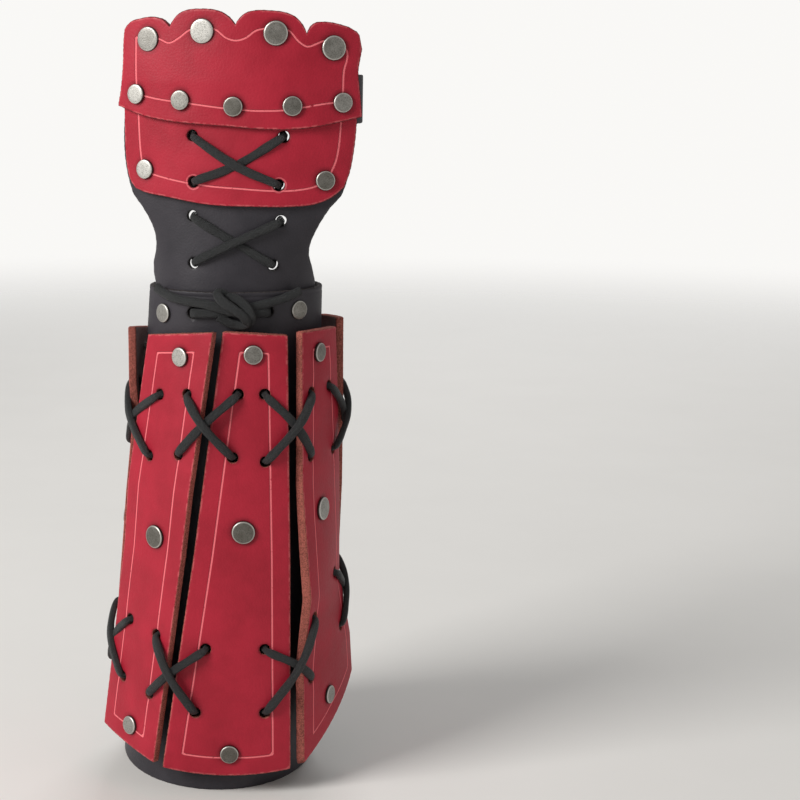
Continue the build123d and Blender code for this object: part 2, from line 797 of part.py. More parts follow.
# Laces on the guard
face_crossing("hand_plate_lace", hand_face, hand_holes, hand_grip, 0)
face_crossing("guard_base_lace", guard, base_holes, guard_wall, 1)

# Wrist tie
with BuildPart() as wrist_tie:
    for route_shares in tie_route_shares:
        points = [
            sleeve_point(right_angle * turn, up * sleeve_height, stand * (tie_radius + tie_lift))[0]
            for turn, up, stand in route_shares
        ]
        cord(points, [tie_bend] * (len(points) - 2), tie_radius)
keep(wrist_tie.part, "wrist_tie")

# Rear lace: down one side and up the other, crossing the slit outside and running down inside
inside_lift = -sleeve_wall - lace_rise
rear_points = []
rear_bends = []
descent = [(row, row - 1, lace_rise) for row in range(rear_rows - 1, 0, -2)]
ascent = [(row, row + 1, lace_rise + lace_step) for row in range(0, rear_rows - 1, 2)]
side = -1
for start_row, end_row, crest_lift in descent + ascent:
    if start_row == 0:
        side = -side
    crest_height = rear_row_foot + (start_row + end_row) / 2 * rear_row_rise
    rear_points += [
        rear_spot(side, start_row, inside_lift)[0],
        rear_spot(side, start_row, lace_rise)[0],
        sleeve_point(2 * right_angle, crest_height, crest_lift)[0],
        rear_spot(-side, end_row, lace_rise)[0],
        rear_spot(-side, end_row, inside_lift)[0],
    ]
    rear_bends += [lace_bend, lace_bend, lace_arch, lace_bend, lace_bend]
    side = -side
with BuildPart() as rear_lace:
    cord(rear_points, rear_bends[1:-1], lace_radius)
keep(rear_lace.part, "rear_lace")
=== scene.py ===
"""Left vambrace: crimson leather splints laced over a black sleeve, and a plated leather guard for
the back of the hand. Sizes are in millimetres, measured from the middle of the wrist's front."""

import math

import bpy
import numpy as np
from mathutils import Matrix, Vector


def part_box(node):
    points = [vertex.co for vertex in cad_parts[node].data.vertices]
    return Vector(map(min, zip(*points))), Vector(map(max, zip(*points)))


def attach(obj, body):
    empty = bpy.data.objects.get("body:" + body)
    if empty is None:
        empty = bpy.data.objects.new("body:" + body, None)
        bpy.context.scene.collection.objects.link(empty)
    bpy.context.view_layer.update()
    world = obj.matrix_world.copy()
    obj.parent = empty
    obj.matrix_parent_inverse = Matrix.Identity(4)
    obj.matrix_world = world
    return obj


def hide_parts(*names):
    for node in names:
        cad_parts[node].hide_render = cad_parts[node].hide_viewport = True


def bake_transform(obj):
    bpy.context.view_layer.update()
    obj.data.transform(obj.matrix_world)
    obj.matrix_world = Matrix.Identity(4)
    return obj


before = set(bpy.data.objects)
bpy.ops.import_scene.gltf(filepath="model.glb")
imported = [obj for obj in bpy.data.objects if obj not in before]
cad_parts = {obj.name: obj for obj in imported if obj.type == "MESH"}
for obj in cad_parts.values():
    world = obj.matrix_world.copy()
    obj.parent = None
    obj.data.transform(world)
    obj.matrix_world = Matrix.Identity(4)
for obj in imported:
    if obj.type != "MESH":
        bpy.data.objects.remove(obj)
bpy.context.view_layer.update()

MM = 0.001

# Sleeve: an oval cone
ELBOW = (-9.5, 71.5, 50.5, 62.6)
WRIST = (0, 45, 43.2, 33)
SLEEVE_HEIGHT = 254
SLEEVE_WALL = 2.5
SLIT_WIDTH = 12

# Splints: height share, left end and right end, as shares of the sleeve's half sizes
SPLINT_TOP = 236
SPLINT_WALL = 4
CROWN_SHARE = 0.045
LEVEL_SHARES = {
    "splint_far_left": [
        (1.017, (-0.997, -0.68), (-1.222, 0.273)),
        (0.869, (-0.979, -0.617), (-1.165, 0.339)),
        (0.788, (-1.02, -0.584), (-1.098, 0.357)),
        (0.627, (-0.995, -0.528), (-1.127, 0.387)),
        (0.347, (-1.05, -0.453), (-1.137, 0.414)),
        (0.034, (-1.08, -0.33), (-1.229, 0.416)),
    ],
    "splint_left": [
        (1.017, (-0.956, 0.568), (-0.229, 1.342)),
        (0.661, (-1.105, 0.532), (-0.42, 1.211)),
        (0.525, (-1.102, 0.523), (-0.465, 1.175)),
        (0.034, (-1.229, 0.51), (-0.666, 1.062)),
    ],
    "splint_middle": [
        (1.017, (-0.119, 1.197), (0.578, 1.197)),
        (0.525, (-0.344, 1.119), (0.677, 1.119)),
        (0.034, (-0.579, 1.073), (0.738, 1.073)),
    ],
    "splint_right": [
        (1.017, (0.744, 1.139), (1.147, 0.351)),
        (0.678, (0.785, 1.096), (1.236, 0.212)),
        (0.43, (0.902, 1.074), (1.257, 0.114)),
        (0.28, (0.838, 1.063), (1.389, 0.038)),
        (0.034, (0.867, 1.049), (1.472, -0.062)),
    ],
    "splint_far_right": [
        (1.017, (1.246, 0.187), (1.044, -0.564)),
        (0.83, (1.259, 0.178), (1.04, -0.501)),
        (0.636, (1.266, 0.094), (1.035, -0.533)),
        (0.4, (1.238, 0.013), (1.023, -0.569)),
        (0.034, (1.301, -0.087), (0.991, -0.622)),
    ],
}
# Cuts: the foot's height at its left and right, then the top's, as shares of the splints' top
CUT_SHARES = {
    "splint_far_left": (0.14, 0.114, 0.97, 0.99),
    "splint_left": (0.1055, 0.068, 0.9805, 1.002),
    "splint_middle": (0.0593, 0.056, 1.0, 0.993),
    "splint_right": (0.065, 0.185, 0.998, 0.992),
    "splint_far_right": (0.195, 0.237, 1.0085, 1.0),
}
# How far the foot's cut hangs below a straight one, as a share of the splint's width
FOOT_SAG_SHARES = {
    "splint_far_left": 0.005,
    "splint_left": -0.01,
    "splint_middle": 0.06,
    "splint_right": 0.005,
    "splint_far_right": 0.005,
}
# A left edge that is cut aslant: height, and how far it runs out from front to back
EDGE_SLANTS = {"splint_right": [(10, 1.6), (60, 1.6), (100, 2.1), (140, 1.2), (170, 0.3), (240, 0)]}
# Rivets from top to foot: shares across and up
RIVET_SHARES = {
    "splint_far_left": [(0.5, 0.94), (0.5, 0.56), (0.5, 0.19)],
    "splint_left": [(0.591, 0.944), (0.567, 0.558), (0.542, 0.132)],
    "splint_middle": [(0.49, 0.953), (0.498, 0.58), (0.513, 0.094)],
    "splint_right": [(0.42, 0.948), (0.4, 0.61), (0.41, 0.184)],
    "splint_far_right": [(0.5, 0.94), (0.5, 0.6), (0.5, 0.3)],
}
# Lace holes beside each gap, from top to foot: one in the left splint and one in the right
GAP_SHARES = {
    ("splint_far_left", "splint_left"): [
        ((0.76, 0.867), (0.354, 0.86)),
        ((0.76, 0.734), (0.323, 0.727)),
        ((0.78, 0.375), (0.298, 0.363)),
        ((0.78, 0.235), (0.288, 0.231)),
    ],
    ("splint_left", "splint_middle"): [
        ((0.765, 0.869), (0.318, 0.871)),
        ((0.765, 0.741), (0.317, 0.738)),
        ((0.775, 0.349), (0.235, 0.326)),
        ((0.786, 0.216), (0.208, 0.185)),
    ],
    ("splint_middle", "splint_right"): [
        ((0.68, 0.871), (0.21, 0.868)),
        ((0.714, 0.729), (0.181, 0.733)),
        ((0.765, 0.325), (0.12, 0.384)),
        ((0.782, 0.184), (0.12, 0.248)),
    ],
    ("splint_right", "splint_far_right"): [
        ((0.684, 0.871), (0.27, 0.87)),
        ((0.773, 0.728), (0.27, 0.735)),
        ((0.704, 0.449), (0.26, 0.46)),
        ((0.747, 0.319), (0.26, 0.33)),
    ],
}
LINE_INSET = 9.4
CORNER = 0.7
EDGE_FUZZ = 0.12

# Guard: over the back of the hand it lies on an upright round of this middle and radius
GUARD_WALL = 2.5
PLATE_WALL = 3
SEAT_GAP = 0.3
BACK_X = 22
BACK_RADIUS = 120
BACK_FRONT = 12.8
GUARD_FOOT = 231
NECK_TOP = 294
GUARD_LEFT = [
    (231, -36), (250, -38.5), (254, -40.5), (265.2, -41.5), (275.9, -40.2), (285.6, -42.1), (293.7, -46.6),
    (300.8, -51.6), (376, -51.2),
]
GUARD_RIGHT = [
    (231, 36), (250, 38), (252, 39.4), (262.6, 38.2), (270.6, 36), (276, 36.3), (283.6, 39.1),
    (294.4, 45.1), (301.5, 51.3), (370, 51.2),
]
GUARD_TOP = [
    (-51.2, 376.5), (-31.6, 377.5), (-16, 379.5), (-0.2, 378.5), (18.6, 379), (33.6, 374.8), (45.9, 373.5),
    (51.2, 370),
]
GUARD_HOLES = [(-21.3, 290.1), (21.6, 288.3), (-20.9, 267.4), (18.4, 266.4)]

# Hand plate
HAND_TOP = 350.2
HAND_LEFT = [(303, -49.4), (306.4, -51.8), (312, -53.4), (319.9, -54.2), (338.7, -54.5), (350.2, -54.5)]
HAND_RIGHT = [(304.5, 51.8), (311, 54.4), (320, 56.2), (332.4, 57.5), (350.2, 57.5)]
HAND_FOOT = [
    (-49.4, 302.6), (-45, 300.9), (-34.3, 299.1), (-13.4, 295.9), (7.6, 295.3), (28.1, 295.4), (38.7, 296.6),
    (46.8, 300), (51.8, 304),
]
HAND_RIVETS = [(-44.2, 312.1), (42.6, 307.8)]
HAND_HOLES = [(-21, 328.8), (22.7, 328.6), (-20.6, 306.7), (20.4, 305.7)]
HAND_LINE_LEFT = [(305, -44.5), (317.4, -46.1), (350, -47.5)]
HAND_LINE_RIGHT = [(305, 42), (311, 45), (317.5, 47.6), (334.4, 49.8), (350, 51)]
HAND_LINE_FOOT = [
    (-46, 311.5), (-40.2, 309.7), (-23.5, 306.2), (-2.9, 304.2), (34.3, 304.1), (42, 307), (48, 312),
]

# Knuckle plate
KNUCKLE_LEAN = 354
KNUCKLE_TIP = 391.1
KNUCKLE_LEFT = [(342.1, -57.7), (350, -56.2), (361.7, -54.9), (374, -54.3), (379.2, -53.7)]
KNUCKLE_RIGHT = [(337.5, 60.1), (348, 59), (358.9, 57.9), (365, 58.8), (369.8, 59.7)]
KNUCKLE_FOOT = [
    (-57.7, 342.1), (-46.7, 338.1), (-33.9, 335.6), (-2.8, 333.2), (10, 332.2), (22.6, 331.9), (35.8, 332.8),
    (60.1, 337.5),
]
SCALLOPS = [
    [(-53.7, 379), (-51.8, 381.6), (-45.7, 383.8), (-39.8, 384.4), (-35, 383), (-31.6, 379.8)],
    [
        (-31.6, 379.8), (-29.9, 382.8), (-27.5, 385.5), (-24, 387.3), (-17, 388), (-9, 387.2), (-4.7, 385.2),
        (-2, 382.6), (-0.2, 380.6),
    ],
    [
        (-0.2, 380.6), (1.6, 383.2), (4.4, 385.8), (8.8, 387.1), (16, 387.1), (24, 386), (28.4, 383.9),
        (31.4, 380.6), (33.6, 376.4),
    ],
    [(33.6, 376.4), (36.8, 380.9), (41, 381.9), (50, 380.6), (56.2, 378), (59, 374.6), (59.7, 369.8)],
]
KNUCKLE_TOP_RIVETS = [(-41.9, 374), (-16, 377.6), (18.6, 376.6), (45.9, 369.8)]
KNUCKLE_FOOT_RIVETS = [(-48.1, 348.1), (-26.6, 345.5), (-1.4, 342.7), (26.5, 343), (50.4, 344.5)]
KNUCKLE_LINE_LEFT = [(345, -48.1), (372, -47.8)]
KNUCKLE_LINE_RIGHT = [(344, 50.4), (350, 50.4), (359.2, 50.7), (366, 52.4), (370, 52)]
KNUCKLE_LINE_FOOT = [
    (-48.1, 348.1), (-37.7, 345.9), (-20, 343.6), (-1.4, 341.4), (11.3, 340.7), (26, 341.3), (38.6, 343.5),
    (50.4, 345),
]
KNUCKLE_LINE_TOP = [
    (-48, 375), (-41.9, 374.5), (-36.5, 374), (-31.7, 372.1), (-27, 374.4), (-22.1, 378), (-16, 379),
    (-9.8, 378.3), (-5, 374.6), (-0.5, 373.2), (4.5, 374.4), (9, 377.6), (13, 378.6), (20, 378.4),
    (24.7, 377.8), (29, 373),
    (33.2, 370.4), (37.5, 371.6), (41.1, 373), (46, 372.5), (50, 371), (52.5, 368.4),
]

# Palm strap
STRAP_WALL = 2.5
STRAP_FOOT = 334
STRAP_WIDTH = 23
PALM_ROUTE = [(60.3, 30), (60.5, 44), (52, 62), (30, 70), (-36, 70), (-50, 64), (-53, 50)]
STRAP_RIGHT_X = (41, 47.5, 53.5)
STRAP_LEFT_X = (-46.5, -42, -36)

# Laces and rivets
THONG_WIDTH = 4.3
THONG_DEPTH = 3.2
CROSS_LIFT = 1.4
OVER_LIFT = 3.7
HOLE_RADIUS = 2.75
RING_RADIUS = 3.5
HOLE_SHADE = 2.1
TIE_WIDTH = 4.5
CUFF_HOLES = [(-0.317, 0.9587), (0.24, 0.9626)]
CUFF_RIVETS = [(-0.597, 0.953), (0.506, 0.961)]
SMALL_CAP = 4.7
LARGE_CAP = 5.8
REAR_ROWS = 8
REAR_FOOT = 20
REAR_RISE = 30
REAR_OFFSET = 15
SPOT_RISE = 1.2
SPOT_PULL_SHARE = 0.25
POST_RADIUS = 1.5

# A cap's outline: radius as a share of the cap's, and height over the leather
CAP_OUTLINE = [
    (0.3, 1.2), (0.62, 1.18), (0.82, 1.14), (0.9, 1.06), (0.955, 0.9), (0.985, 0.66), (1, 0.35), (1, 0),
    (0.97, -0.35), (0.8, -0.45),
]
# A back cap's outline: radius, and height over the grip's end
BACK_OUTLINE = [(1.5, -0.9), (3.4, -0.9), (3.8, -1.1), (3.8, -1.7), (3.4, -2.0), (1.2, -2.1)]

# How leather sinks, as a radius and a depth: at a splint's rivets and holes, at a plate's, and at
# the sleeve's rear holes
SPLINT_RIVET_SINK = (7.5, 0.75)
SPLINT_HOLE_SINK = (4.2, 0.45)
PLATE_RIVET_SINK = (7, 0.6)
PLATE_HOLE_SINK = (4.2, 0.4)
REAR_HOLE_SINK = (4.2, 0.3)

# Marks and places are in centimetres. One that is far away shows no line, no painted shade round a rivet or
# hole, and no ring
CENTIMETRE = 10
FAR = 99.0

# The frame's own place of the wrist's front
sleeve_low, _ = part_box("sleeve")
SHIFT = np.array([sleeve_low.x / MM - (ELBOW[0] - ELBOW[2]), sleeve_low.y / MM - (ELBOW[1] - ELBOW[3]), 0])


def unit(vectors):
    """Vectors divided by their lengths."""
    return vectors / np.linalg.norm(vectors, axis=-1, keepdims=True)


def spread(first, last, step):
    """Evenly spaced numbers from first to last, about a step apart."""
    return np.linspace(first, last, max(2, int(abs(last - first) / step) + 1))


def through(knots, x):
    """A smooth curve through knots (x, y): cubic pieces whose slope at a knot is the mean of the
    slopes on its two sides."""
    knots = np.array(knots, float)
    kx, ky = knots[:, 0], knots[:, 1]
    slopes = np.diff(ky) / np.diff(kx)
    ends = np.concatenate([slopes[:1], (slopes[:-1] + slopes[1:]) / 2, slopes[-1:]])
    x = np.clip(x, kx[0], kx[-1])
    place = np.clip(np.searchsorted(kx, x, side="right") - 1, 0, len(kx) - 2)
    width = kx[place + 1] - kx[place]
    t = (x - kx[place]) / width
    return (
        ky[place] * (1 + 2 * t) * (1 - t) ** 2
        + ky[place + 1] * t * t * (3 - 2 * t)
        + ends[place] * width * t * (1 - t) ** 2
        - ends[place + 1] * width * t * t * (1 - t)
    )


def wander(points, size, seed):
    """A slow unevenness of hand-cut leather: a sum of sines of the place, at most a size."""
    turns = np.random.default_rng(seed)
    total = np.zeros(points.shape[:-1])
    for _ in range(4):
        wave = turns.normal(0, 1 / 28, 3)
        total = total + np.sin(points @ wave + turns.uniform(0, 2 * math.pi))
    return total * size / 4


def sleeve_level(height):
    """The sleeve's middle, half width and half depth at a height: straight lines from elbow to wrist."""
    rise = np.asarray(height, float)[..., None] / SLEEVE_HEIGHT
    level = np.array(ELBOW) + (np.array(WRIST) - np.array(ELBOW)) * rise
    return level[..., 0], level[..., 1], level[..., 2], level[..., 3]


def sleeve_point(turn, height, lift=0):
    """A point over the sleeve, turned in degrees from its front: the oval's point plus its normal
    times a lift. It returns the point and the normal."""
    x, y, half_width, half_depth = sleeve_level(height)
    turn, height = np.broadcast_arrays(np.radians(turn), np.asarray(height, float))
    normal = unit(np.stack([np.sin(turn) / half_width, -np.cos(turn) / half_depth, np.zeros_like(turn)], -1))
    point = np.stack([x + half_width * np.sin(turn), y - half_depth * np.cos(turn), height], -1)
    return point + normal * np.asarray(lift, float)[..., None], normal


def splint_levels(name):
    """Each level of a splint's face: height, left end, right end and crown."""
    levels = []
    for height_share, left, right in LEVEL_SHARES[name]:
        height = height_share * SPLINT_TOP
        x, y, half_width, half_depth = sleeve_level(height)
        left_end = (x + left[0] * half_width, y - left[1] * half_depth)
        right_end = (x + right[0] * half_width, y - right[1] * half_depth)
        levels.append((height, *left_end, *right_end, CROWN_SHARE * math.dist(left_end, right_end)))
    return np.array(sorted(levels))


def face_point(levels, share, height):
    """A point of a splint's face: arcs through the ends and crown of the levels below and above,
    joined by a straight line at the height."""
    share, height = np.broadcast_arrays(np.asarray(share, float), np.asarray(height, float))
    total = np.zeros(share.shape + (3,))
    for number, (_, left_x, left_y, right_x, right_y, crown) in enumerate(levels):
        half = math.hypot(right_x - left_x, right_y - left_y) / 2
        radius = (half**2 + crown**2) / (2 * crown)
        turn = (2 * share - 1) * math.asin(half / radius)
        along = radius * np.sin(turn)
        out = crown - radius + radius * np.cos(turn)
        way_x, way_y = (right_x - left_x) / half / 2, (right_y - left_y) / half / 2
        x = (left_x + right_x) / 2 + way_x * along + way_y * out
        y = (left_y + right_y) / 2 + way_y * along - way_x * out
        weight = np.interp(height, levels[:, 0], np.eye(len(levels))[number])
        total += np.stack([x, y, np.zeros_like(x)], -1) * weight[..., None]
    total[..., 2] = height
    return total


def face_normal(levels, share, height):
    """The outward normal of a splint's face: across times up."""
    across = face_point(levels, share + 0.01, height) - face_point(levels, share - 0.01, height)
    up = face_point(levels, share, height + 2) - face_point(levels, share, height - 2)
    return unit(np.cross(across, up))


def guard_point(x, height, lift=0):
    """A point of the guard's face at a place from left to right: below the neck it lies on the
    sleeve's inner oval and above it on the round of the back of the hand, mixed in between."""
    x, height, lift = np.broadcast_arrays(*(np.asarray(value, float) for value in (x, height, lift)))
    mid_x, mid_y, half_width, half_depth = sleeve_level(np.minimum(height, SLEEVE_HEIGHT))
    inset = SLEEVE_WALL + SEAT_GAP
    across = np.clip((x - mid_x) / (half_width - inset), -0.995, 0.995)
    oval_y = mid_y - (half_depth - inset) * np.sqrt(1 - across**2)
    radius = BACK_RADIUS + lift
    back_y = BACK_FRONT + BACK_RADIUS - np.sqrt(radius**2 - (x - BACK_X) ** 2)
    mix = np.clip((height - SLEEVE_HEIGHT) / (NECK_TOP - SLEEVE_HEIGHT), 0, 1)
    mix = mix * mix * (3 - 2 * mix)
    return np.stack([x, oval_y + (back_y - oval_y) * mix, height], -1)


def guard_seat(x, height, lift):
    """A point of a face over the guard and its outward normal."""
    point = guard_point(x, height, lift)
    across = guard_point(x + 0.5, height, lift) - guard_point(x - 0.5, height, lift)
    up = guard_point(x, height + 1, lift) - guard_point(x, height - 1, lift)
    return point, unit(np.cross(across, up))


def fill_mesh(name, points, faces, materials, marks=None, places=None):
    """A mesh from points in millimetres and faces, each a row of corners with its material number.
    Marks and places become two maps of two numbers per corner."""
    mesh = bpy.data.meshes.new(name)
    points = (points.reshape(-1, 3) + SHIFT) * MM
    corners = np.concatenate([group.reshape(-1) for group, _ in faces])
    totals = np.concatenate([np.full(len(group), group.shape[1]) for group, _ in faces])
    kinds = np.concatenate([np.broadcast_to(kind, len(group)) for group, kind in faces])
    mesh.vertices.add(len(points))
    mesh.vertices.foreach_set("co", points.astype(np.float32).ravel())
    mesh.loops.add(len(corners))
    mesh.loops.foreach_set("vertex_index", corners.astype(np.int32))
    mesh.polygons.add(len(totals))
    mesh.polygons.foreach_set("loop_start", (np.cumsum(totals) - totals).astype(np.int32))
    mesh.polygons.foreach_set("loop_total", totals.astype(np.int32))
    mesh.polygons.foreach_set("material_index", kinds.astype(np.int32))
    for map_name, values in (("marks", marks), ("places", places)):
        if values is not None:
            layer = mesh.uv_layers.new(name=map_name)
            layer.uv.foreach_set("vector", values.reshape(-1, 2)[corners].astype(np.float32).ravel())
    for material in materials:
        mesh.materials.append(material)
    mesh.update(calc_edges=True)
    mesh.validate()
    mesh.polygons.foreach_set("use_smooth", np.ones(len(mesh.polygons), bool))
    piece = bpy.data.objects.new(name, mesh)
    bpy.context.scene.collection.objects.link(piece)
    return piece


def sheet(name, front, wall, materials, marks, places, slant=0):
    """A sheet of leather with rounded edges. Front is a grid of points, rows upwards and columns to
    the right as seen from outside. The back lies a wall behind it along the grid's normal, and the
    edge between them is a quarter round, a flat and a quarter round, carried round the border along
    its outward way, which is its direction times the normal. A slant is how far the left edge runs
    out from front to back, for each row. A little fuzz, a sine round the border, roughens the
    edge. The materials are face, edge, back."""
    across = np.gradient(front, axis=1)
    up = np.gradient(front, axis=0)
    normals = unit(np.cross(across, up))
    rows, columns = front.shape[:2]
    grid = np.arange(rows * columns).reshape(rows, columns)
    loop = np.concatenate([grid[0], grid[1:, -1], grid[-1, -2::-1], grid[-2:0:-1, 0]])
    flat_front = front.reshape(-1, 3)
    flat_normals = normals.reshape(-1, 3)
    border = flat_front[loop]
    border_normals = flat_normals[loop]
    way = unit(np.roll(border, -1, 0) - np.roll(border, 1, 0))
    outward = unit(np.cross(way, border_normals))
    quarter = np.radians([30, 60, 90])
    outs = np.concatenate([np.sin(quarter), np.sin(quarter[::-1])]) * CORNER
    depths = np.concatenate([1 - np.cos(quarter), wall / CORNER - 1 + np.cos(quarter[::-1])]) * CORNER
    fuzz = EDGE_FUZZ * np.sin(np.arange(len(loop))[None] * 2.1 + np.arange(len(outs))[:, None] * 1.7)
    slants = np.zeros((rows, columns))
    slants[:, 0] = slant
    loop_slants = slants.reshape(-1)[loop]
    sideways = outs[:, None] + fuzz + loop_slants * depths[:, None] / wall
    rings = border + outward * sideways[..., None] - border_normals * depths[:, None, None]
    count = rows * columns
    back = front - normals * wall - unit(across) * slants[..., None]
    points = np.concatenate([flat_front, back.reshape(-1, 3), rings.reshape(-1, 3)])
    quads = np.stack([grid[:-1, :-1], grid[:-1, 1:], grid[1:, 1:], grid[1:, :-1]], -1).reshape(-1, 4)
    ring_grid = 2 * count + np.arange(len(outs) * len(loop)).reshape(len(outs), len(loop))
    chain = [loop, *ring_grid, loop + count]
    faces = [(quads, 0), (quads[:, ::-1] + count, 2)]
    for first, second, kind in zip(chain[:-1], chain[1:], [0] + [1] * (len(chain) - 3) + [2]):
        faces.append((np.stack([first, second, np.roll(second, -1), np.roll(first, -1)], -1), kind))

    def carried(values):
        """The front's values, given to the front, the back and each ring."""
        flat = values.reshape(-1, 2)
        return np.concatenate([flat, flat, np.tile(flat[loop], (len(outs), 1))])

    return fill_mesh(name, points, faces, materials, carried(marks), carried(places))


def turned(origin, axis, outline, count):
    """An outline of radius and height turned round a seat's axis: the origin, plus the axis times
    the height, plus a circle of count points times the radius."""
    turns = np.linspace(0, 2 * math.pi, count, endpoint=False)
    side = unit(np.cross(axis, [0, 0, 1.0]))
    up = np.cross(axis, side)
    ring = np.cos(turns)[:, None] * side + np.sin(turns)[:, None] * up
    return origin + axis * outline[:, 1, None, None] + ring[None] * outline[:, 0, None, None]


def tubes(bodies, kind=0):
    """The points and faces of closed tubes, with a material number. A body is a grid of rings and
    the middles of its two ends: quads join the rings, and a fan closes each end."""
    points, faces, start = [], [], 0
    for skin, first, last in bodies:
        rings, around = skin.shape[:2]
        grid = start + np.arange(rings * around).reshape(rings, around)
        nxt = np.roll(grid, -1, 1)
        points += [skin.reshape(-1, 3), first[None], last[None]]
        faces.append((np.stack([grid[:-1], grid[1:], nxt[1:], nxt[:-1]], -1).reshape(-1, 4), kind))
        faces.append((np.stack([np.full(around, start + grid.size), grid[0], nxt[0]], -1), kind))
        faces.append((np.stack([np.full(around, start + grid.size + 1), nxt[-1], grid[-1]], -1), kind))
        start += grid.size + 2
    return np.concatenate(points), faces


def punch(piece, seats, wall, radius=HOLE_RADIUS):
    """Cut round holes with a worn mouth: one cutter, an outline of radius and height turned round
    each hole's axis, taken away from the leather."""
    outline = np.array([(radius + 1.2, wall), (radius + 0.35, 0.25), (radius, -0.6), (radius, -2 * wall)])
    bodies = []
    for origin, normal in seats:
        body = turned(origin, normal, outline, 20)
        bodies.append((body, origin + normal * outline[0, 1], origin + normal * outline[-1, 1]))
    cutter = fill_mesh("cutter", *tubes(bodies, kind=1), list(piece.data.materials))
    modifier = piece.modifiers.new("holes", "BOOLEAN")
    modifier.operation = "DIFFERENCE"
    modifier.solver = "EXACT"
    modifier.object = cutter
    bpy.context.view_layer.update()
    evaluated = piece.evaluated_get(bpy.context.evaluated_depsgraph_get())
    cut = bpy.data.meshes.new_from_object(evaluated)
    piece.modifiers.clear()
    piece.data = cut
    cut.name = piece.name
    bpy.data.objects.remove(cutter)


def press(points, normals, seats, radius, depth):
    """Sink leather round each seat: less by a depth times the bell curve of the distance."""
    for origin, _ in seats:
        away = np.linalg.norm(points - origin, axis=-1)
        points = points - normals * (depth * np.exp(-((away / radius) ** 2)))[..., None]
    return points


def nearest(points, seats, radii=0.0):
    """The distance from each point to the nearest seat, or to a round of a radius on it."""
    radii = np.broadcast_to(radii, len(seats))
    gaps = [np.linalg.norm(points - origin, axis=-1) - radius for (origin, _), radius in zip(seats, radii)]
    return np.min(gaps, axis=0)


def spline(knots, step=0.6):
    """A smooth run along control points from the first to the last: quadratic B-spline pieces, each
    half of (1-t)^2 a + (1+2t-2t^2) b + t^2 c for three neighbours, with both ends doubled."""
    knots = np.array(knots, float)
    knots = np.concatenate([knots[:1], knots, knots[-1:]])
    length = np.linalg.norm(np.diff(knots[:, :3], axis=0), axis=1).mean()
    t = np.linspace(0, 1, max(6, int(length / step)), endpoint=False)[:, None]
    a, b, c = knots[:-2, None], knots[1:-1, None], knots[2:, None]
    run = ((1 - t) ** 2 * a + (1 + 2 * t - 2 * t * t) * b + t * t * c) / 2
    return run.reshape(-1, knots.shape[1])


def thong(route, ups, width, depth, seats=(), twist=0.12, seed=1):
    """A flat thong along a route: a rounded oblong section, the fourth-power oval, set across the
    route's direction, with its flat side to the ups. It wavers a little in width and turn, and is
    pinched by the holes at its seats."""
    run = spline(np.concatenate([np.array(route, float), np.array(ups, float)], 1))
    path, up = run[:, :3], run[:, 3:]
    way = unit(np.gradient(path, axis=0))
    side = unit(np.cross(way, up))
    top = np.cross(side, way)
    along = np.concatenate([[0], np.cumsum(np.linalg.norm(np.diff(path, axis=0), axis=1))])
    noise = np.random.default_rng(seed).uniform(0, 2 * math.pi, 3)
    swell = 1 + 0.05 * np.sin(along / 5.5 + noise[0]) + 0.03 * np.sin(along / 1.9 + noise[1])
    if seats:
        swell = swell * (1 - 0.3 * np.exp(-((nearest(path, seats) / 2.6) ** 2)))
    lean = twist * np.sin(along / 11 + noise[2])
    turn = np.linspace(0, 2 * math.pi, 20, endpoint=False)
    power = (np.abs(np.cos(turn)) ** 3 + np.abs(np.sin(turn)) ** 3) ** (-1 / 3)
    u = power * np.cos(turn) * width / 2
    v = power * np.sin(turn) * depth / 2
    u, v = u * swell[:, None], v * swell[:, None]
    turned_u = u * np.cos(lean)[:, None] - v * np.sin(lean)[:, None]
    turned_v = u * np.sin(lean)[:, None] + v * np.cos(lean)[:, None]
    skin = path[:, None] + side[:, None] * turned_u[..., None] + top[:, None] * turned_v[..., None]
    marks = np.stack(np.broadcast_arrays(along[:, None] / 10, turn / (2 * math.pi)), -1)
    return skin, marks, path


def thongs(name, strands, material):
    """One mesh of thongs, each a closed tube with its marks."""
    points, faces = tubes([(skin, path[0], path[-1]) for skin, _, path in strands])
    marks = [part for _, mark, _ in strands for part in (mark.reshape(-1, 2), mark[0, :1], mark[-1, :1])]
    return fill_mesh(name, points, faces, [material], np.concatenate(marks))


def threaded(start, end, wall, crest, crest_out, tail):
    """The control points and upward ways of a thong that comes out of one hole, passes over a
    crest and goes into another. The crest's control point makes the curve top the crest, because
    a quadratic B-spline's middle is six eighths of its own point and one eighth of each neighbour.
    Round each hole's edge the thong's outer side turns from the way along it to the way out."""
    (start, start_out), (end, end_out) = start, end
    way = unit(end - start)
    rise = THONG_DEPTH / 2 + 0.3
    first, last = start + start_out * rise + way * 1.6, end + end_out * rise - way * 1.6
    route = [
        start - start_out * (wall + tail),
        start - start_out * 0.6,
        first,
        (crest * 8 - first - last) / 6,
        last,
        end - end_out * 0.6,
        end - end_out * (wall + tail),
    ]
    ups = [-way, -way, start_out - way * 0.5, crest_out, end_out + way * 0.5, way, way]
    return route, ups


def crossing(seats, wall, spot, out, over, seed):
    """Two thongs that cross over a spot between four holes, upper left, upper right, lower left
    and lower right."""
    strands = []
    for first, last in ((0, 3), (1, 2)):
        lift = OVER_LIFT if first == over else CROSS_LIFT
        route, ups = threaded(seats[first], seats[last], wall, spot + out * lift, out, 0.6)
        strands.append(thong(route, ups, THONG_WIDTH, THONG_DEPTH, seats, seed=seed + first))
    return strands


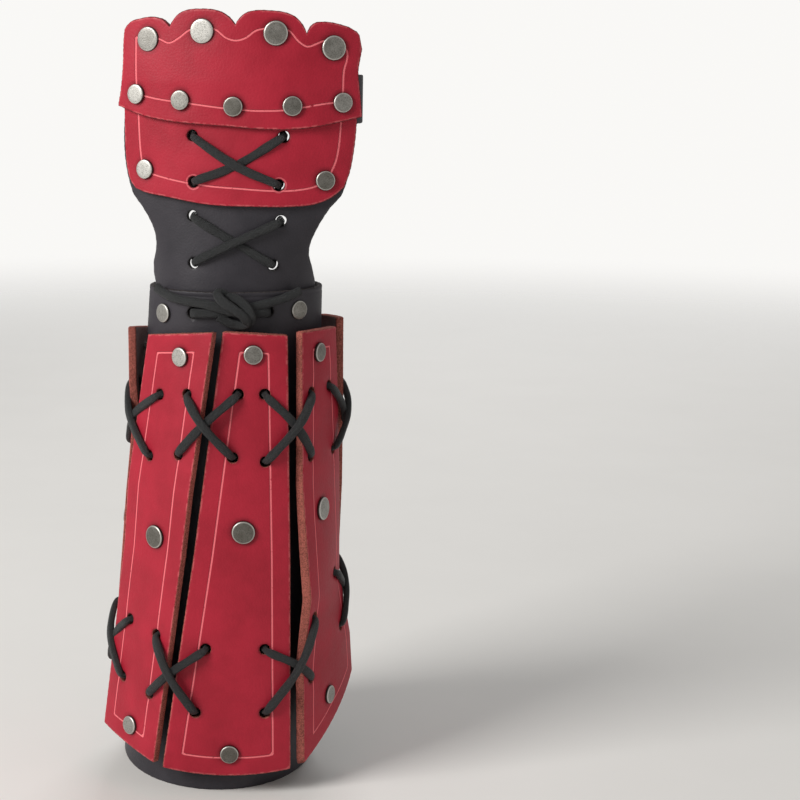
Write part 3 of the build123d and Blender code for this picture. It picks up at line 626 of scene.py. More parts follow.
def face_crossing(seats, wall, over, sag, reach, seed):
    """A thong laced crosswise on one face: out at the upper left, down to the lower right, up
    behind to the upper right, down to the lower left and up behind to where it starts. It crosses
    lower than the middle by a sag. Behind, it reaches past the holes."""
    middle = sum(origin for origin, _ in seats) / 4 - np.array([0, 0, sag])
    out = unit(sum(normal for _, normal in seats))
    middle = middle + out * max((origin - middle) @ out for origin, _ in seats)
    route, ups = [], []
    behind = wall + THONG_DEPTH / 2 + 0.4
    for first, last in ((0, 3), (1, 2)):
        lift = OVER_LIFT if first == over else CROSS_LIFT
        part, part_ups = threaded(seats[first], seats[last], wall, middle + out * lift, out, 0)
        origin, normal = seats[first]
        route += [origin - normal * behind + np.array([0, 0, reach]), *part[1:-1]]
        ups += [-normal, *part_ups[1:-1]]
        origin, normal = seats[last]
        route += [origin - normal * behind - np.array([0, 0, reach])]
        ups += [-normal]
    left_origin, left_normal = seats[0]
    lower_origin, lower_normal = seats[2]
    meet = (left_origin + lower_origin) / 2 - (left_normal + lower_normal) / 2 * (behind + 0.8)
    first_end = [meet + np.array([1.5, 0, -4.0]), meet + np.array([0.8, 0, 0])]
    last_end = [meet - np.array([1.4, 0, 0]), meet + np.array([-2.2, 0, 5.0])]
    route = [*first_end, *route, *last_end]
    ups = [-left_normal, -left_normal, *ups, -left_normal, -left_normal]
    return [thong(route, ups, THONG_WIDTH, THONG_DEPTH, seats, seed=seed)]


def rivets(name, seats, cap_radius, glint, material):
    """Capped rivets: one closed outline of radius and height, from the cap's middle over its rim
    and down the post to the back cap, turned round each seat's axis, which tilts a little. A seat
    has its grip, the depth of leather. Each cap also has a painted reflection, how bright its colour is
    painted as if it caught the light: 0 for a dull cap and 1 for a bright one."""
    bodies, places = [], []
    for number, (origin, normal, grip) in enumerate(seats):
        cap = np.array(CAP_OUTLINE) * [cap_radius, 1]
        outline = np.concatenate([cap, [(POST_RADIUS, cap[-1, 1])], np.array(BACK_OUTLINE) - [0, grip]])
        tilt = 0.03 * np.array([math.sin(5 * number), math.cos(3 * number), math.sin(2 * number + 1)])
        axis = unit(normal + tilt)
        body = turned(origin, axis, outline, 40)
        bodies.append((body, origin + axis * outline[0, 1], origin + axis * outline[-1, 1]))
        share = np.repeat(np.where(outline[:, 1] > -1, outline[:, 0] / cap_radius, 0.5), body.shape[1])
        share = np.concatenate([share, [0, 0]])
        places.append(np.stack([share, np.full(len(share), glint[number])], -1))
    return fill_mesh(name, *tubes(bodies), [material], places=np.concatenate(places))


class Wire:
    """A socket in a sum: each operator adds a Math node to its tree."""

    def __init__(self, nodes, socket):
        self.nodes = nodes
        self.socket = socket

    def math(self, operation, *others, flip=False):
        values = [self, *others]
        if flip:
            values.reverse()
        node = self.nodes.node("ShaderNodeMath", {"operation": operation}, *values)
        return Wire(self.nodes, node.outputs[0])

    def __add__(self, other):
        return self.math("ADD", other)

    def __radd__(self, other):
        return self.math("ADD", other, flip=True)

    def __sub__(self, other):
        return self.math("SUBTRACT", other)

    def __rsub__(self, other):
        return self.math("SUBTRACT", other, flip=True)

    def __mul__(self, other):
        return self.math("MULTIPLY", other)

    def __rmul__(self, other):
        return self.math("MULTIPLY", other, flip=True)

    def size(self):
        """The value without its sign."""
        return self.math("ABSOLUTE")

    def most(self, other):
        """The larger of two values."""
        return self.math("MAXIMUM", other)

    def step(self, low, high):
        """0 below low, 1 above high and smooth between; the other way round if low is above high."""
        node = self.nodes.node(
            "ShaderNodeMapRange", {"interpolation_type": "SMOOTHSTEP"}, self, min(low, high), max(low, high),
            *((0.0, 1.0) if low < high else (1.0, 0.0)),
        )
        return Wire(self.nodes, node.outputs[0])


class Nodes:
    """The node tree of a material or a world, with one method that makes its nodes."""

    def __init__(self, owner):
        owner.use_nodes = True
        self.tree = owner.node_tree

    def plug(self, socket, value):
        """Link a value to a socket, or write it there."""
        if isinstance(value, Wire):
            value = value.socket
        if isinstance(value, bpy.types.NodeSocket):
            self.tree.links.new(value, socket)
        elif value is not None:
            socket.default_value = value

    def node(self, kind, settings, *values, **named):
        """A node of a kind: its settings first, then its sockets' values or links in order."""
        node = self.tree.nodes.new(kind)
        for setting, value in settings.items():
            setattr(node, setting, value)
        for socket, value in zip(node.inputs, values):
            self.plug(socket, value)
        for socket, value in named.items():
            self.plug(node.inputs[socket], value)
        return node


class Finish(Nodes):
    """A material with one Principled BSDF, and the nodes that feed it."""

    def __init__(self, name, **constants):
        self.material = bpy.data.materials.new(name)
        super().__init__(self.material)
        self.shader = self.tree.nodes["Principled BSDF"]
        for socket, value in constants.items():
            self.plug(self.shader.inputs[socket.replace("_", " ")], value)
        self.place = self.node("ShaderNodeTexCoord", {}).outputs["Object"]

    def noise(self, scale, detail=2.0, roughness=0.5, vector=None, stretch=None):
        """Noise of a scale per metre over the piece, or over another vector."""
        vector = vector or self.place
        if stretch:
            vector = self.node("ShaderNodeVectorMath", {"operation": "MULTIPLY"}, vector, stretch).outputs[0]
        noise = {"Vector": vector, "Scale": scale, "Detail": detail, "Roughness": roughness}
        return Wire(self, self.node("ShaderNodeTexNoise", {}, **noise).outputs["Fac"])

    def cells(self, scale, vector=None):
        """The distance to the nearest of scattered points."""
        node = self.node("ShaderNodeTexVoronoi", {"feature": "F1"}, Vector=vector or self.place, Scale=scale)
        return Wire(self, node.outputs["Distance"])

    def mapped(self, name):
        """The two numbers of one of the piece's maps."""
        uv_map = self.node("ShaderNodeUVMap", {"uv_map": name}).outputs[0]
        node = self.node("ShaderNodeSeparateXYZ", {}, uv_map)
        return Wire(self, node.outputs[0]), Wire(self, node.outputs[1])

    def mix(self, share, first, second):
        """A colour between two, at a share."""
        node = self.node("ShaderNodeMix", {"data_type": "RGBA"})
        for number, value in ((0, share), (6, first), (7, second)):
            self.plug(node.inputs[number], (*value, 1) if isinstance(value, tuple) else value)
        return node.outputs[2]

    def feed(self, socket, value):
        """Link a value to the shader."""
        self.plug(self.shader.inputs[socket], value)

    def bumps(self, height, depth):
        """Raise the surface by a height of 0 to 1 times a depth in millimetres."""
        node = self.node("ShaderNodeBump", {}, Strength=1.0, Distance=depth * MM, Height=height)
        self.feed("Normal", node.outputs[0])


def dyed_leather(name, bright, deep, line, lit_edge):
    """Dyed, waxed leather: slow mottling of two dyes, fine grain, a cut line where the first mark
    is near 0, and a painted highlight within a millimetre of the edge, which is the second mark: a pale
    line as if the edge caught the light. The places are the distance to a rivet or hole, round which
    painted shade darkens it, and to a fainter ring."""
    finish = Finish(name, Specular_IOR_Level=0.28)
    from_line, from_edge = finish.mapped("marks")
    from_hole, from_ring = finish.mapped("places")
    cloud = finish.noise(22, 4, 0.6)
    patch = finish.noise(75, 3, 0.55)
    grain = finish.cells(900)
    pores = finish.noise(2400, 2, 0.6)
    dye = (cloud * 0.6 + patch * 0.4).step(0.34, 0.66)
    colour = finish.mix(dye, deep, bright)
    speck = finish.noise(1500, 2, 0.7).step(0.6, 0.78) * 0.22
    colour = finish.mix(speck, colour, tuple(value * 0.45 for value in bright))
    # Painted shade: darker round each rivet and hole, with a narrow dark painted outline where a cap meets
    # the leather
    shade = (from_hole.step(0.28, 0.0) * 0.4).most(from_hole.step(0.05, 0.01) * 0.85)
    colour = finish.mix(shade, colour, tuple(value * 0.3 for value in deep))
    # Painted highlight: a pale line within a millimetre of the edge, broken up by noise, as if the edge
    # caught the light
    edge_highlight = from_edge.step(0.06, 0.0) * finish.noise(260, 3, 0.7).step(0.38, 0.62) * 0.55
    colour = finish.mix(edge_highlight, colour, lit_edge)
    groove = from_line.size().step(0.06, 0.03)
    inside = (groove * 0.92).most(from_ring.size().step(0.05, 0.02) * 0.5)
    colour = finish.mix(inside * finish.noise(420, 2, 0.7).step(0.2, 0.4), colour, line)
    finish.feed("Base Color", colour)
    finish.feed("Roughness", 0.4 + patch * 0.14 + grain * 0.08 + groove * 0.3)
    finish.bumps(grain * 0.22 + pores * 0.12 + cloud * 0.9 - groove * 1.6, 0.28)
    return finish.material


def cut_edge(name, pale, dark):
    """The raw cut edge of leather: short fibres in two tones with pits."""
    finish = Finish(name, Specular_IOR_Level=0.25)
    fibre = finish.noise(1300, 4, 0.75)
    pit = finish.noise(2600, 3, 0.7)
    patch = finish.noise(45, 3, 0.6)
    colour = finish.mix((fibre * 0.75 + patch * 0.25).step(0.38, 0.6), dark, pale)
    colour = finish.mix(pit.step(0.46, 0.34) * 0.55, colour, tuple(value * 0.3 for value in dark))
    finish.feed("Base Color", colour)
    finish.feed("Roughness", 0.82 + fibre * 0.12)
    finish.bumps(fibre + pit * 0.6, 0.45)
    return finish.material


def flesh_side(name, pale, dark):
    """The napped back of leather."""
    finish = Finish(name, Specular_IOR_Level=0.2, Sheen_Weight=0.25, Sheen_Roughness=0.5)
    nap = finish.noise(700, 5, 0.75)
    patch = finish.noise(35, 4, 0.6)
    colour = finish.mix((nap * 0.45 + patch * 0.55).step(0.34, 0.66), dark, pale)
    finish.feed("Base Color", colour)
    finish.feed("Roughness", 0.86 + nap * 0.1)
    finish.bumps(nap, 0.4)
    return finish.material


def suede(name, pale, dark):
    """Suede thong: fibres drawn out along its length, which the first mark follows."""
    finish = Finish(name, Specular_IOR_Level=0.45, Sheen_Weight=0.05, Sheen_Roughness=0.45)
    along = finish.node("ShaderNodeUVMap", {"uv_map": "marks"}).outputs[0]
    drawn = finish.noise(14, 4, 0.7, vector=along, stretch=(0.9, 5.5, 1.0))
    nap = finish.noise(1100, 4, 0.75)
    fluff = finish.noise(3600, 2, 0.7)
    colour = finish.mix((nap * 0.55 + drawn * 0.45).step(0.36, 0.64), dark, pale)
    colour = finish.mix(fluff.step(0.58, 0.72) * 0.3, colour, tuple(value * 4 for value in pale))
    finish.feed("Base Color", colour)
    finish.feed("Roughness", 0.42 + nap * 0.22)
    finish.bumps(nap * 0.8 + drawn * 0.7 + fluff * 0.5, 0.7)
    return finish.material


def old_nickel(name, bright, dull):
    """Darkened nickel caps: grainy and dull, with a painted highlight on the turn of the edge and painted
    shade on the dark foot. The place is the distance from the cap's middle as a share of its radius,
    and how bright the cap is painted, its painted reflection of the light."""
    finish = Finish(name)
    out, glint = finish.mapped("places")
    scratch = finish.noise(900, 5, 0.75)
    stain = finish.noise(260, 3, 0.6)
    pit = finish.noise(2200, 3, 0.7).step(0.5, 0.36)
    # Painted highlight: a pale band on the rounded turn of the cap's edge, brighter than the metal
    turn = out.step(0.84, 0.92) * out.step(1.0, 0.96)
    # Painted reflection: each cap's colour is painted brighter by how much light it should catch; the stain
    # noise adds real tarnish
    colour = finish.mix((stain * 0.5 + glint * 1.1).step(0.2, 1.3), dull, bright)
    colour = finish.mix(pit * 0.6, colour, tuple(value * 0.4 for value in dull))
    colour = finish.mix(turn * 0.45, colour, tuple(value * 1.6 for value in bright))
    # Painted shade: the foot of the cap's side, where it meets the leather, is painted dark
    colour = finish.mix(out.step(0.965, 0.99) * 0.8, colour, tuple(value * 0.25 for value in dull))
    finish.feed("Base Color", colour)
    finish.feed("Metallic", 0.88 - stain * 0.16)
    finish.feed("Roughness", 0.38 + scratch * 0.24 - turn * 0.1)
    finish.bumps(scratch * 0.7 + stain * 0.4, 0.08)
    return finish.material


crimson = dyed_leather(
    "crimson_leather", (0.44, 0.016, 0.038), (0.34, 0.011, 0.027), (0.92, 0.19, 0.22), (0.66, 0.15, 0.16)
)
black = dyed_leather(
    "black_leather", (0.042, 0.038, 0.046), (0.027, 0.025, 0.031), (0.10, 0.10, 0.11), (0.10, 0.095, 0.10)
)
red_edge = cut_edge("crimson_cut_edge", (0.52, 0.15, 0.115), (0.21, 0.058, 0.046))
# Painted shade: the plates' cut edges are painted darker than the splints', as they lie in shadow
shaded_plate_edge = cut_edge("crimson_shaded_edge", (0.27, 0.045, 0.05), (0.14, 0.022, 0.026))
black_edge = cut_edge("black_cut_edge", (0.07, 0.06, 0.06), (0.02, 0.018, 0.02))
red_back = flesh_side("crimson_flesh_side", (0.24, 0.045, 0.04), (0.12, 0.02, 0.02))
black_back = flesh_side("black_flesh_side", (0.075, 0.062, 0.055), (0.035, 0.03, 0.028))
thong_suede = suede("thong_suede", (0.022, 0.024, 0.026), (0.003, 0.004, 0.0045))
nickel = old_nickel("old_nickel", (0.52, 0.51, 0.48), (0.125, 0.117, 0.10))
RED = [crimson, red_edge, red_back]
RED_PLATE = [crimson, shaded_plate_edge, red_back]
BLACK = [black, black_edge, black_back]

SPLINTS = {name: splint_levels(name) for name in LEVEL_SHARES}


def splint_seat(name, spot):
    """A point of a splint's face and its normal, at shares across and up."""
    height = spot[1] * SPLINT_TOP
    return face_point(SPLINTS[name], spot[0], height), face_normal(SPLINTS[name], spot[0], height)


def depth_to_sleeve(origin, normal, inset):
    """How deep the sleeve's surface at an inset lies below a seat: the first of many depths that
    is inside the oval."""
    depths = np.linspace(0, 24, 480)
    spots = origin - normal * depths[:, None]
    x, y, half_width, half_depth = sleeve_level(spots[:, 2])
    across = (spots[:, 0] - x) / (half_width - inset)
    along = (spots[:, 1] - y) / (half_depth - inset)
    return depths[np.argmax(across**2 + along**2 < 1)]


splint_rivets = {name: [splint_seat(name, spot) for spot in RIVET_SHARES[name]] for name in SPLINTS}
splint_holes = {name: [] for name in SPLINTS}
gap_seats = {}
for pair_names, pairs in GAP_SHARES.items():
    gap_seats[pair_names] = []
    for pair in pairs:
        for owner, spot in zip(pair_names, pair):
            seat = splint_seat(owner, spot)
            splint_holes[owner].append(seat)
            gap_seats[pair_names].append(seat)


def splint(name, seed):
    """A splint: its face between its cut foot, a parabola, and its cut top, with a wander, sunk at
    rivets and holes. The marks are the distances to the cut line and to the edge, in centimetres."""
    levels = SPLINTS[name]
    foot_left, foot_right, top_left, top_right = [share * SPLINT_TOP for share in CUT_SHARES[name]]
    width = np.hypot(levels[:, 3] - levels[:, 1], levels[:, 4] - levels[:, 2])
    middle_width = width.mean()
    inset = CORNER / middle_width
    across = spread(0, 1, 1.3 / middle_width) * (1 - 2 * inset) + inset
    up = spread(0, 1, 1.6 / SPLINT_TOP)[:, None]
    sag = FOOT_SAG_SHARES[name] * middle_width
    foot = foot_left + (foot_right - foot_left) * across - 4 * sag * across * (1 - across)
    top = top_left + (top_right - top_left) * across
    height = (foot + CORNER) + (top - foot - 2 * CORNER) * up
    share = np.broadcast_to(across, height.shape)
    front = face_point(levels, share, height)
    normals = face_normal(levels, share, height)
    bow = wander(front, 0.5, seed)
    front = front + normals * (bow * np.minimum(1, 4 * up * (1 - up)))[..., None] * 0.6
    rivet_seats = splint_rivets[name]
    hole_seats = splint_holes[name]
    front = press(front, normals, rivet_seats, *SPLINT_RIVET_SINK)
    front = press(front, normals, hole_seats, *SPLINT_HOLE_SINK)
    level_width = np.interp(height, levels[:, 0], width)
    sides = np.minimum(share, 1 - share) * level_width
    ends = np.minimum(height - foot, top - height)
    edge = np.minimum(sides, ends)
    marks = np.stack([edge - LINE_INSET, edge - CORNER], -1) / CENTIMETRE
    radii = [SMALL_CAP, LARGE_CAP, SMALL_CAP] + [HOLE_SHADE] * len(hole_seats)
    away = nearest(front, rivet_seats + hole_seats, radii)
    places = np.stack([away, np.full(away.shape, FAR)], -1) / CENTIMETRE
    slant = through(EDGE_SLANTS[name], height[:, 0]) if name in EDGE_SLANTS else 0
    piece = sheet(f"{name}_leather", front, SPLINT_WALL, RED, marks, places, slant)
    punch(piece, hole_seats, SPLINT_WALL)
    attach(piece, "forearm")
    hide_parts(name)


def slanted(gap, edge, place):
    """A gap measured along one axis to a curved edge, made the gap measured square to the edge."""
    slope = (edge(place + 0.3) - edge(place - 0.3)) / 0.6
    return gap / np.sqrt(1 + slope**2)


def plate(name, left, right, foot, top, columns, rows, lift, wall, materials, line=None, seats=(), caps=(),
          holes=(), rings=()):
    """A plate over the guard between four edges. A column's place is a share from left to right: its
    foot and top are the edges' heights there, and each row's ends are the side edges' places at its
    height. The line gives the cut line's left, right, foot and top edges. Leather sinks a little at
    rivets and holes. Its marks are the distances to the line and to the edge, and its places those to
    a cap or hole and to a ring, in centimetres."""
    foot_z = foot(columns)
    height = foot_z + (top(columns) - foot_z) * rows[:, None]
    left_x, right_x = left(height[:, :1]), right(height[:, -1:])
    x = left_x + (right_x - left_x) * columns
    front, normals = guard_seat(x, height, lift(height))
    front = front + normals * wander(front, 0.5, len(name))[..., None]
    edge = np.minimum(np.minimum(x - left_x, right_x - x), np.minimum(height - foot_z, top(columns) - height))
    if seats:
        front = press(front, normals, seats, *PLATE_RIVET_SINK)
    if holes:
        front = press(front, normals, holes, *PLATE_HOLE_SINK)
    from_line = edge + FAR
    if line:
        line_left, line_right, line_foot, line_top = line
        from_line = np.min([
            slanted(x - line_left(height), line_left, height),
            slanted(line_right(height) - x, line_right, height),
            slanted(height - line_foot(x), line_foot, x),
            slanted(line_top(x) - height, line_top, x),
        ], axis=0)
    marks = np.stack([from_line, edge], -1) / CENTIMETRE
    away = np.full(x.shape, FAR)
    if seats:
        away = np.minimum(away, nearest(front, seats, caps))
    if holes:
        away = np.minimum(away, nearest(front, holes, HOLE_SHADE))
    from_ring = nearest(front, rings, RING_RADIUS) if rings else away + FAR
    places = np.stack([away, from_ring], -1) / CENTIMETRE
    piece = sheet(name, front, wall, materials, marks, places)
    if holes:
        punch(piece, holes, wall)
    return piece


def edge_curve(knots):
    """An edge of a plate as a function: the smooth curve through its knots."""
    return lambda place: through(knots, place)


def share_curve(knots, shrink):
    """An edge that runs from left to right, as a function of the share along it, moved by a
    rounded corner's radius into the plate."""
    first, last = knots[0][0], knots[-1][0]
    return lambda share: through(knots, first + (last - first) * share) + shrink


def scallop_height(x):
    """The knuckle plate's top: each scallop's smooth curve between its two cusps."""
    x = np.asarray(x, float)
    height = through(SCALLOPS[0], x)
    for scallop in SCALLOPS[1:]:
        height = np.where(x >= scallop[0][0], through(scallop, x), height)
    return height


def inset(knots, distance):
    """Knots of a side edge with their places moved sideways."""
    return [(height, x + distance) for height, x in knots]


def knuckle_lift(height):
    """The knuckle plate's face over the guard's: two plates and two gaps, and above the hand plate
    it leans in to one."""
    lean = np.clip((height - KNUCKLE_LEAN) / (KNUCKLE_TIP - KNUCKLE_LEAN), 0, 1)
    return 2 * (PLATE_WALL + SEAT_GAP) - PLATE_WALL * lean


def guard_spots(spots, lift):
    """Seats over the guard at places from left to right and heights."""
    seats = []
    for x, height in spots:
        point, normal = guard_seat(x, height, lift(height))
        seats.append((point, normal))
    return seats


def level_lift(amount):
    """A lift that is the same at every height."""
    return lambda height: np.full(np.shape(height), float(amount))


for number, name in enumerate(SPLINTS):
    splint(name, number + 3)

# Sleeve, with its slit down the back and a crease under its upper rim
FINE_FOOT = 248
FINE_STEP = 0.4
CREASE = (251.6, 0.5, 0.15)
heights = np.concatenate([
    spread(CORNER, FINE_FOOT - FINE_STEP, 2.3), spread(FINE_FOOT, SLEEVE_HEIGHT - CORNER, FINE_STEP),
])[:, None]
_, _, half_widths, _ = sleeve_level(heights)
half_turn = 180 - np.degrees(np.arcsin((SLIT_WIDTH / 2 + CORNER) / half_widths))
turns = spread(-1, 1, 2 / 160) * half_turn
sleeve_heights = np.broadcast_to(heights, turns.shape)
crease_height, crease_width, crease_depth = CREASE
crease = -crease_depth * np.exp(-(((sleeve_heights - crease_height) / crease_width) ** 2))
sleeve_front, sleeve_out = sleeve_point(turns, sleeve_heights, crease)
sleeve_front = sleeve_front + sleeve_out * wander(sleeve_front, 0.4, 12)[..., None]
sleeve_edge = np.minimum(sleeve_heights, SLEEVE_HEIGHT - sleeve_heights)
sleeve_marks = np.stack([np.full(turns.shape, FAR), sleeve_edge], -1) / CENTIMETRE
cuff_holes = [sleeve_point(90 * turn, rise * SLEEVE_HEIGHT, 0.0) for turn, rise in CUFF_HOLES]
cuff_rivets = [sleeve_point(90 * turn, rise * SLEEVE_HEIGHT, 0.0) for turn, rise in CUFF_RIVETS]


def rear_spot(side, row, lift=0.0):
    """A point beside the slit, to the left or right of it seen from the front, and its normal."""
    height = REAR_FOOT + row * REAR_RISE
    half_width = float(sleeve_level(height)[2])
    turn = 180 - side * math.degrees(math.asin(REAR_OFFSET / half_width))
    return sleeve_point(turn, height, lift)


rear_holes = [rear_spot(side, row) for side in (-1, 1) for row in range(REAR_ROWS)]
away = nearest(sleeve_front, cuff_holes + rear_holes, HOLE_RADIUS)
sleeve_front = press(sleeve_front, sleeve_out, rear_holes, *REAR_HOLE_SINK)
sleeve_places = np.stack([away, np.full(away.shape, FAR)], -1) / CENTIMETRE
sleeve = sheet("sleeve_leather", sleeve_front, SLEEVE_WALL, BLACK, sleeve_marks, sleeve_places)
punch(sleeve, cuff_holes + rear_holes, SLEEVE_WALL)
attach(sleeve, "forearm")
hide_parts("sleeve")

# Guard, from inside the sleeve's wrist end to the knuckles
guard_holes = guard_spots(GUARD_HOLES, level_lift(0))
hand_holes = guard_spots(HAND_HOLES, level_lift(PLATE_WALL + SEAT_GAP))
lower_guard_holes = [(origin - normal * (SLEEVE_WALL + SEAT_GAP), normal) for origin, normal in cuff_holes]
upper_guard_holes = [(origin - normal * (PLATE_WALL + SEAT_GAP), normal) for origin, normal in hand_holes]
guard = plate(
    "guard_leather",
    edge_curve(inset(GUARD_LEFT, CORNER)),
    edge_curve(inset(GUARD_RIGHT, -CORNER)),
    lambda share: np.full(np.shape(share), GUARD_FOOT + CORNER),
    share_curve(GUARD_TOP, -CORNER),
    spread(0, 1, 1 / 66),
    spread(0, 1, 1 / 100),
    level_lift(0),
    GUARD_WALL,
    BLACK,
    holes=guard_holes + lower_guard_holes + upper_guard_holes,
)
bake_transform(guard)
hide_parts("guard_root", "guard_base")

# Plates
hand_rivets = guard_spots(HAND_RIVETS, level_lift(PLATE_WALL + SEAT_GAP))
hand_plate = plate(
    "hand_plate_leather",
    edge_curve(inset(HAND_LEFT, CORNER)),
    edge_curve(inset(HAND_RIGHT, -CORNER)),
    share_curve(HAND_FOOT, CORNER),
    lambda share: np.full(np.shape(share), HAND_TOP - CORNER),
    spread(0, 1, 1 / 84),
    spread(0, 1, 1 / 40),
    level_lift(PLATE_WALL + SEAT_GAP),
    PLATE_WALL,
    RED_PLATE,
    line=(
        edge_curve(HAND_LINE_LEFT), edge_curve(HAND_LINE_RIGHT), edge_curve(HAND_LINE_FOOT),
        level_lift(HAND_TOP + FAR),
    ),
    seats=hand_rivets,
    caps=SMALL_CAP,
    holes=hand_holes,
    rings=hand_holes[2:],
)
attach(hand_plate, "hand")
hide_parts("hand_plate")

knuckle_top_rivets = guard_spots(KNUCKLE_TOP_RIVETS, knuckle_lift)
knuckle_foot_rivets = guard_spots(KNUCKLE_FOOT_RIVETS, knuckle_lift)
tips = [scallop[0][0] for scallop in SCALLOPS] + [SCALLOPS[-1][-1][0]]
column_runs = [spread(first, last, 1.2)[:-1] for first, last in zip(tips[:-1], tips[1:])]
column_x = np.concatenate(column_runs + [tips[-1:]])
knuckle_columns = (column_x - tips[0]) / (tips[-1] - tips[0])
knuckle_plate = plate(
    "knuckle_plate_leather",
    edge_curve(inset(KNUCKLE_LEFT, CORNER)),
    edge_curve(inset(KNUCKLE_RIGHT, -CORNER)),
    share_curve(KNUCKLE_FOOT, CORNER),
    lambda share: scallop_height(tips[0] + (tips[-1] - tips[0]) * np.asarray(share)) - CORNER,
    knuckle_columns,
    spread(0, 1, 1 / 42),
    knuckle_lift,
    PLATE_WALL,
    RED_PLATE,
    line=(
        edge_curve(KNUCKLE_LINE_LEFT), edge_curve(KNUCKLE_LINE_RIGHT), edge_curve(KNUCKLE_LINE_FOOT),
        edge_curve(KNUCKLE_LINE_TOP),
    ),
    seats=knuckle_top_rivets + knuckle_foot_rivets,
    caps=[LARGE_CAP] * 4 + [SMALL_CAP] * 5,
)
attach(knuckle_plate, "hand")
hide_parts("knuckle_plate")

# Palm strap: it follows a smooth run round the palm, square to it
strap_level = STRAP_FOOT + STRAP_WIDTH / 2
strap_sink = GUARD_WALL + SEAT_GAP + STRAP_WALL / 2
sunk = []
for x in STRAP_RIGHT_X + STRAP_LEFT_X:
    point, normal = guard_seat(x, strap_level, 0.0)
    sunk.append((point - normal * strap_sink)[:2])
plan = spline(sunk[:3] + [np.array(spot, float) for spot in PALM_ROUTE] + sunk[3:], 1.6)
strap_way = unit(np.gradient(plan, axis=0))
strap_out = np.stack([strap_way[:, 1], -strap_way[:, 0]], -1)
strap_face = plan + strap_out * STRAP_WALL / 2
strap_rows = spread(STRAP_FOOT + CORNER, STRAP_FOOT + STRAP_WIDTH - CORNER, 1.5)[:, None]
strap_front = np.stack(np.broadcast_arrays(strap_face[:, 0], strap_face[:, 1], strap_rows), -1)
strap_edge = np.minimum(strap_rows - STRAP_FOOT, STRAP_FOOT + STRAP_WIDTH - strap_rows)
strap_marks = np.stack(np.broadcast_arrays(np.full(len(plan), FAR), strap_edge), -1) / CENTIMETRE
strap_places = np.full(strap_marks.shape, FAR / CENTIMETRE)
strap = sheet("palm_strap_leather", strap_front, STRAP_WALL, BLACK, strap_marks, strap_places)
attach(strap, "hand")
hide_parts("palm_strap")

# Laces over the gaps: how much tighter than a lace over the splints' faces the upper and the lower
# one are pulled
PULLS = {"far_left": (0.7, 2.3), "left": (1.5, 0), "right": (0.6, 0.3), "far_right": (0, 0.9)}
for gap, (pair_names, over) in enumerate(zip(GAP_SHARES, (0, 0, 1, 1))):
    side = pair_names[0 if gap < 2 else 1].replace("splint_", "")
    seats = gap_seats[pair_names]
    for row, pull, four in zip(("upper", "lower"), PULLS[side], (seats[:4], seats[4:])):
        height = np.mean([origin[2] for origin, _ in four])
        left_point, left_out = (f(SPLINTS[pair_names[0]], 1.0, height) for f in (face_point, face_normal))
        right_point, right_out = (f(SPLINTS[pair_names[1]], 0.0, height) for f in (face_point, face_normal))
        out = unit(left_out + right_out)
        spot = (left_point + right_point) / 2
        spot = spot + out * (abs((left_point - spot) @ out) - pull) + np.array([0, 0, SPOT_RISE])
        middle = sum(origin for origin, _ in four) / 4
        spot = spot + SPOT_PULL_SHARE * (middle - spot) * np.array([1, 0, 0])
        strands = crossing(four, SPLINT_WALL, spot, out, over, 10 * gap)
        lace = thongs(f"{row}_thongs_{side}", strands, thong_suede)
        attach(lace, "forearm")
        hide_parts(f"{row}_lace_{side}")

# Laces on the guard
hand_grip = PLATE_WALL + SEAT_GAP + GUARD_WALL
for name, node, seats, wall, over, sag, reach, seed in (
    ("hand_plate_thongs", "hand_plate_lace", hand_holes, hand_grip, 0, 2.5, 1.6, 51),
    ("guard_base_thongs", "guard_base_lace", guard_holes, GUARD_WALL, 1, 0, 0.2, 61),
):
    lace = thongs(name, face_crossing(seats, wall, over, sag, reach, seed), thong_suede)
    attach(lace, "hand")
    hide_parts(node)

# Wrist tie: turn from the sleeve's front as a share of a right angle, height in millimetres, and
# stand-off from the band
TIE_STRANDS = [
    [
        (-0.317, 243.5, -4.0), (-0.317, 243.5, 0.6), (-0.28, 243.7, 2.3), (-0.16, 244.0, 2.4),
        (-0.02, 244.8, 2.2), (0.11, 247.0, 2.6), (0.24, 249.0, 2.2), (0.38, 251.2, 1.9), (0.49, 253.7, 1.9),
    ],
    [
        (0.24, 244.5, -4.0), (0.24, 244.5, 0.6), (0.2, 244.2, 2.2), (0.1, 243.8, 2.4), (0.0, 244.8, 4.4),
        (-0.12, 247.4, 4.2), (-0.24, 248.8, 2.4), (-0.4, 249.6, 1.9), (-0.54, 251.4, 1.9),
        (-0.67, 254.4, 1.9),
    ],
    [
        (-0.02, 250.0, 1.8), (-0.09, 254.0, 2.6), (-0.13, 254.6, 5.0), (-0.09, 250.6, 7.2), (0.0, 246.6, 7.8),
        (0.07, 242.2, 6.8), (0.08, 238.8, 4.6), (0.02, 238.0, 2.2), (-0.07, 240.4, 2.2), (-0.11, 242.6, 3.0),
    ],
    [
        (-0.07, 248.6, 1.8), (-0.05, 252.8, 3.2), (0.01, 251.6, 5.2), (0.065, 248.4, 6.4),
        (0.105, 243.6, 6.2), (0.1, 239.4, 3.6), (0.05, 238.4, 1.8),
    ],
]
tie = []
for number, strand in enumerate(TIE_STRANDS):
    route, ups = [], []
    for turn, height, stand in strand:
        point, normal = sleeve_point(90 * turn, height, stand)
        route.append(point)
        ups.append(normal)
    tie.append(thong(route, ups, TIE_WIDTH, THONG_DEPTH * 0.9, seed=70 + number))
wrist_tie = thongs("wrist_tie_thongs", tie, thong_suede)
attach(wrist_tie, "forearm")
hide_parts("wrist_tie")

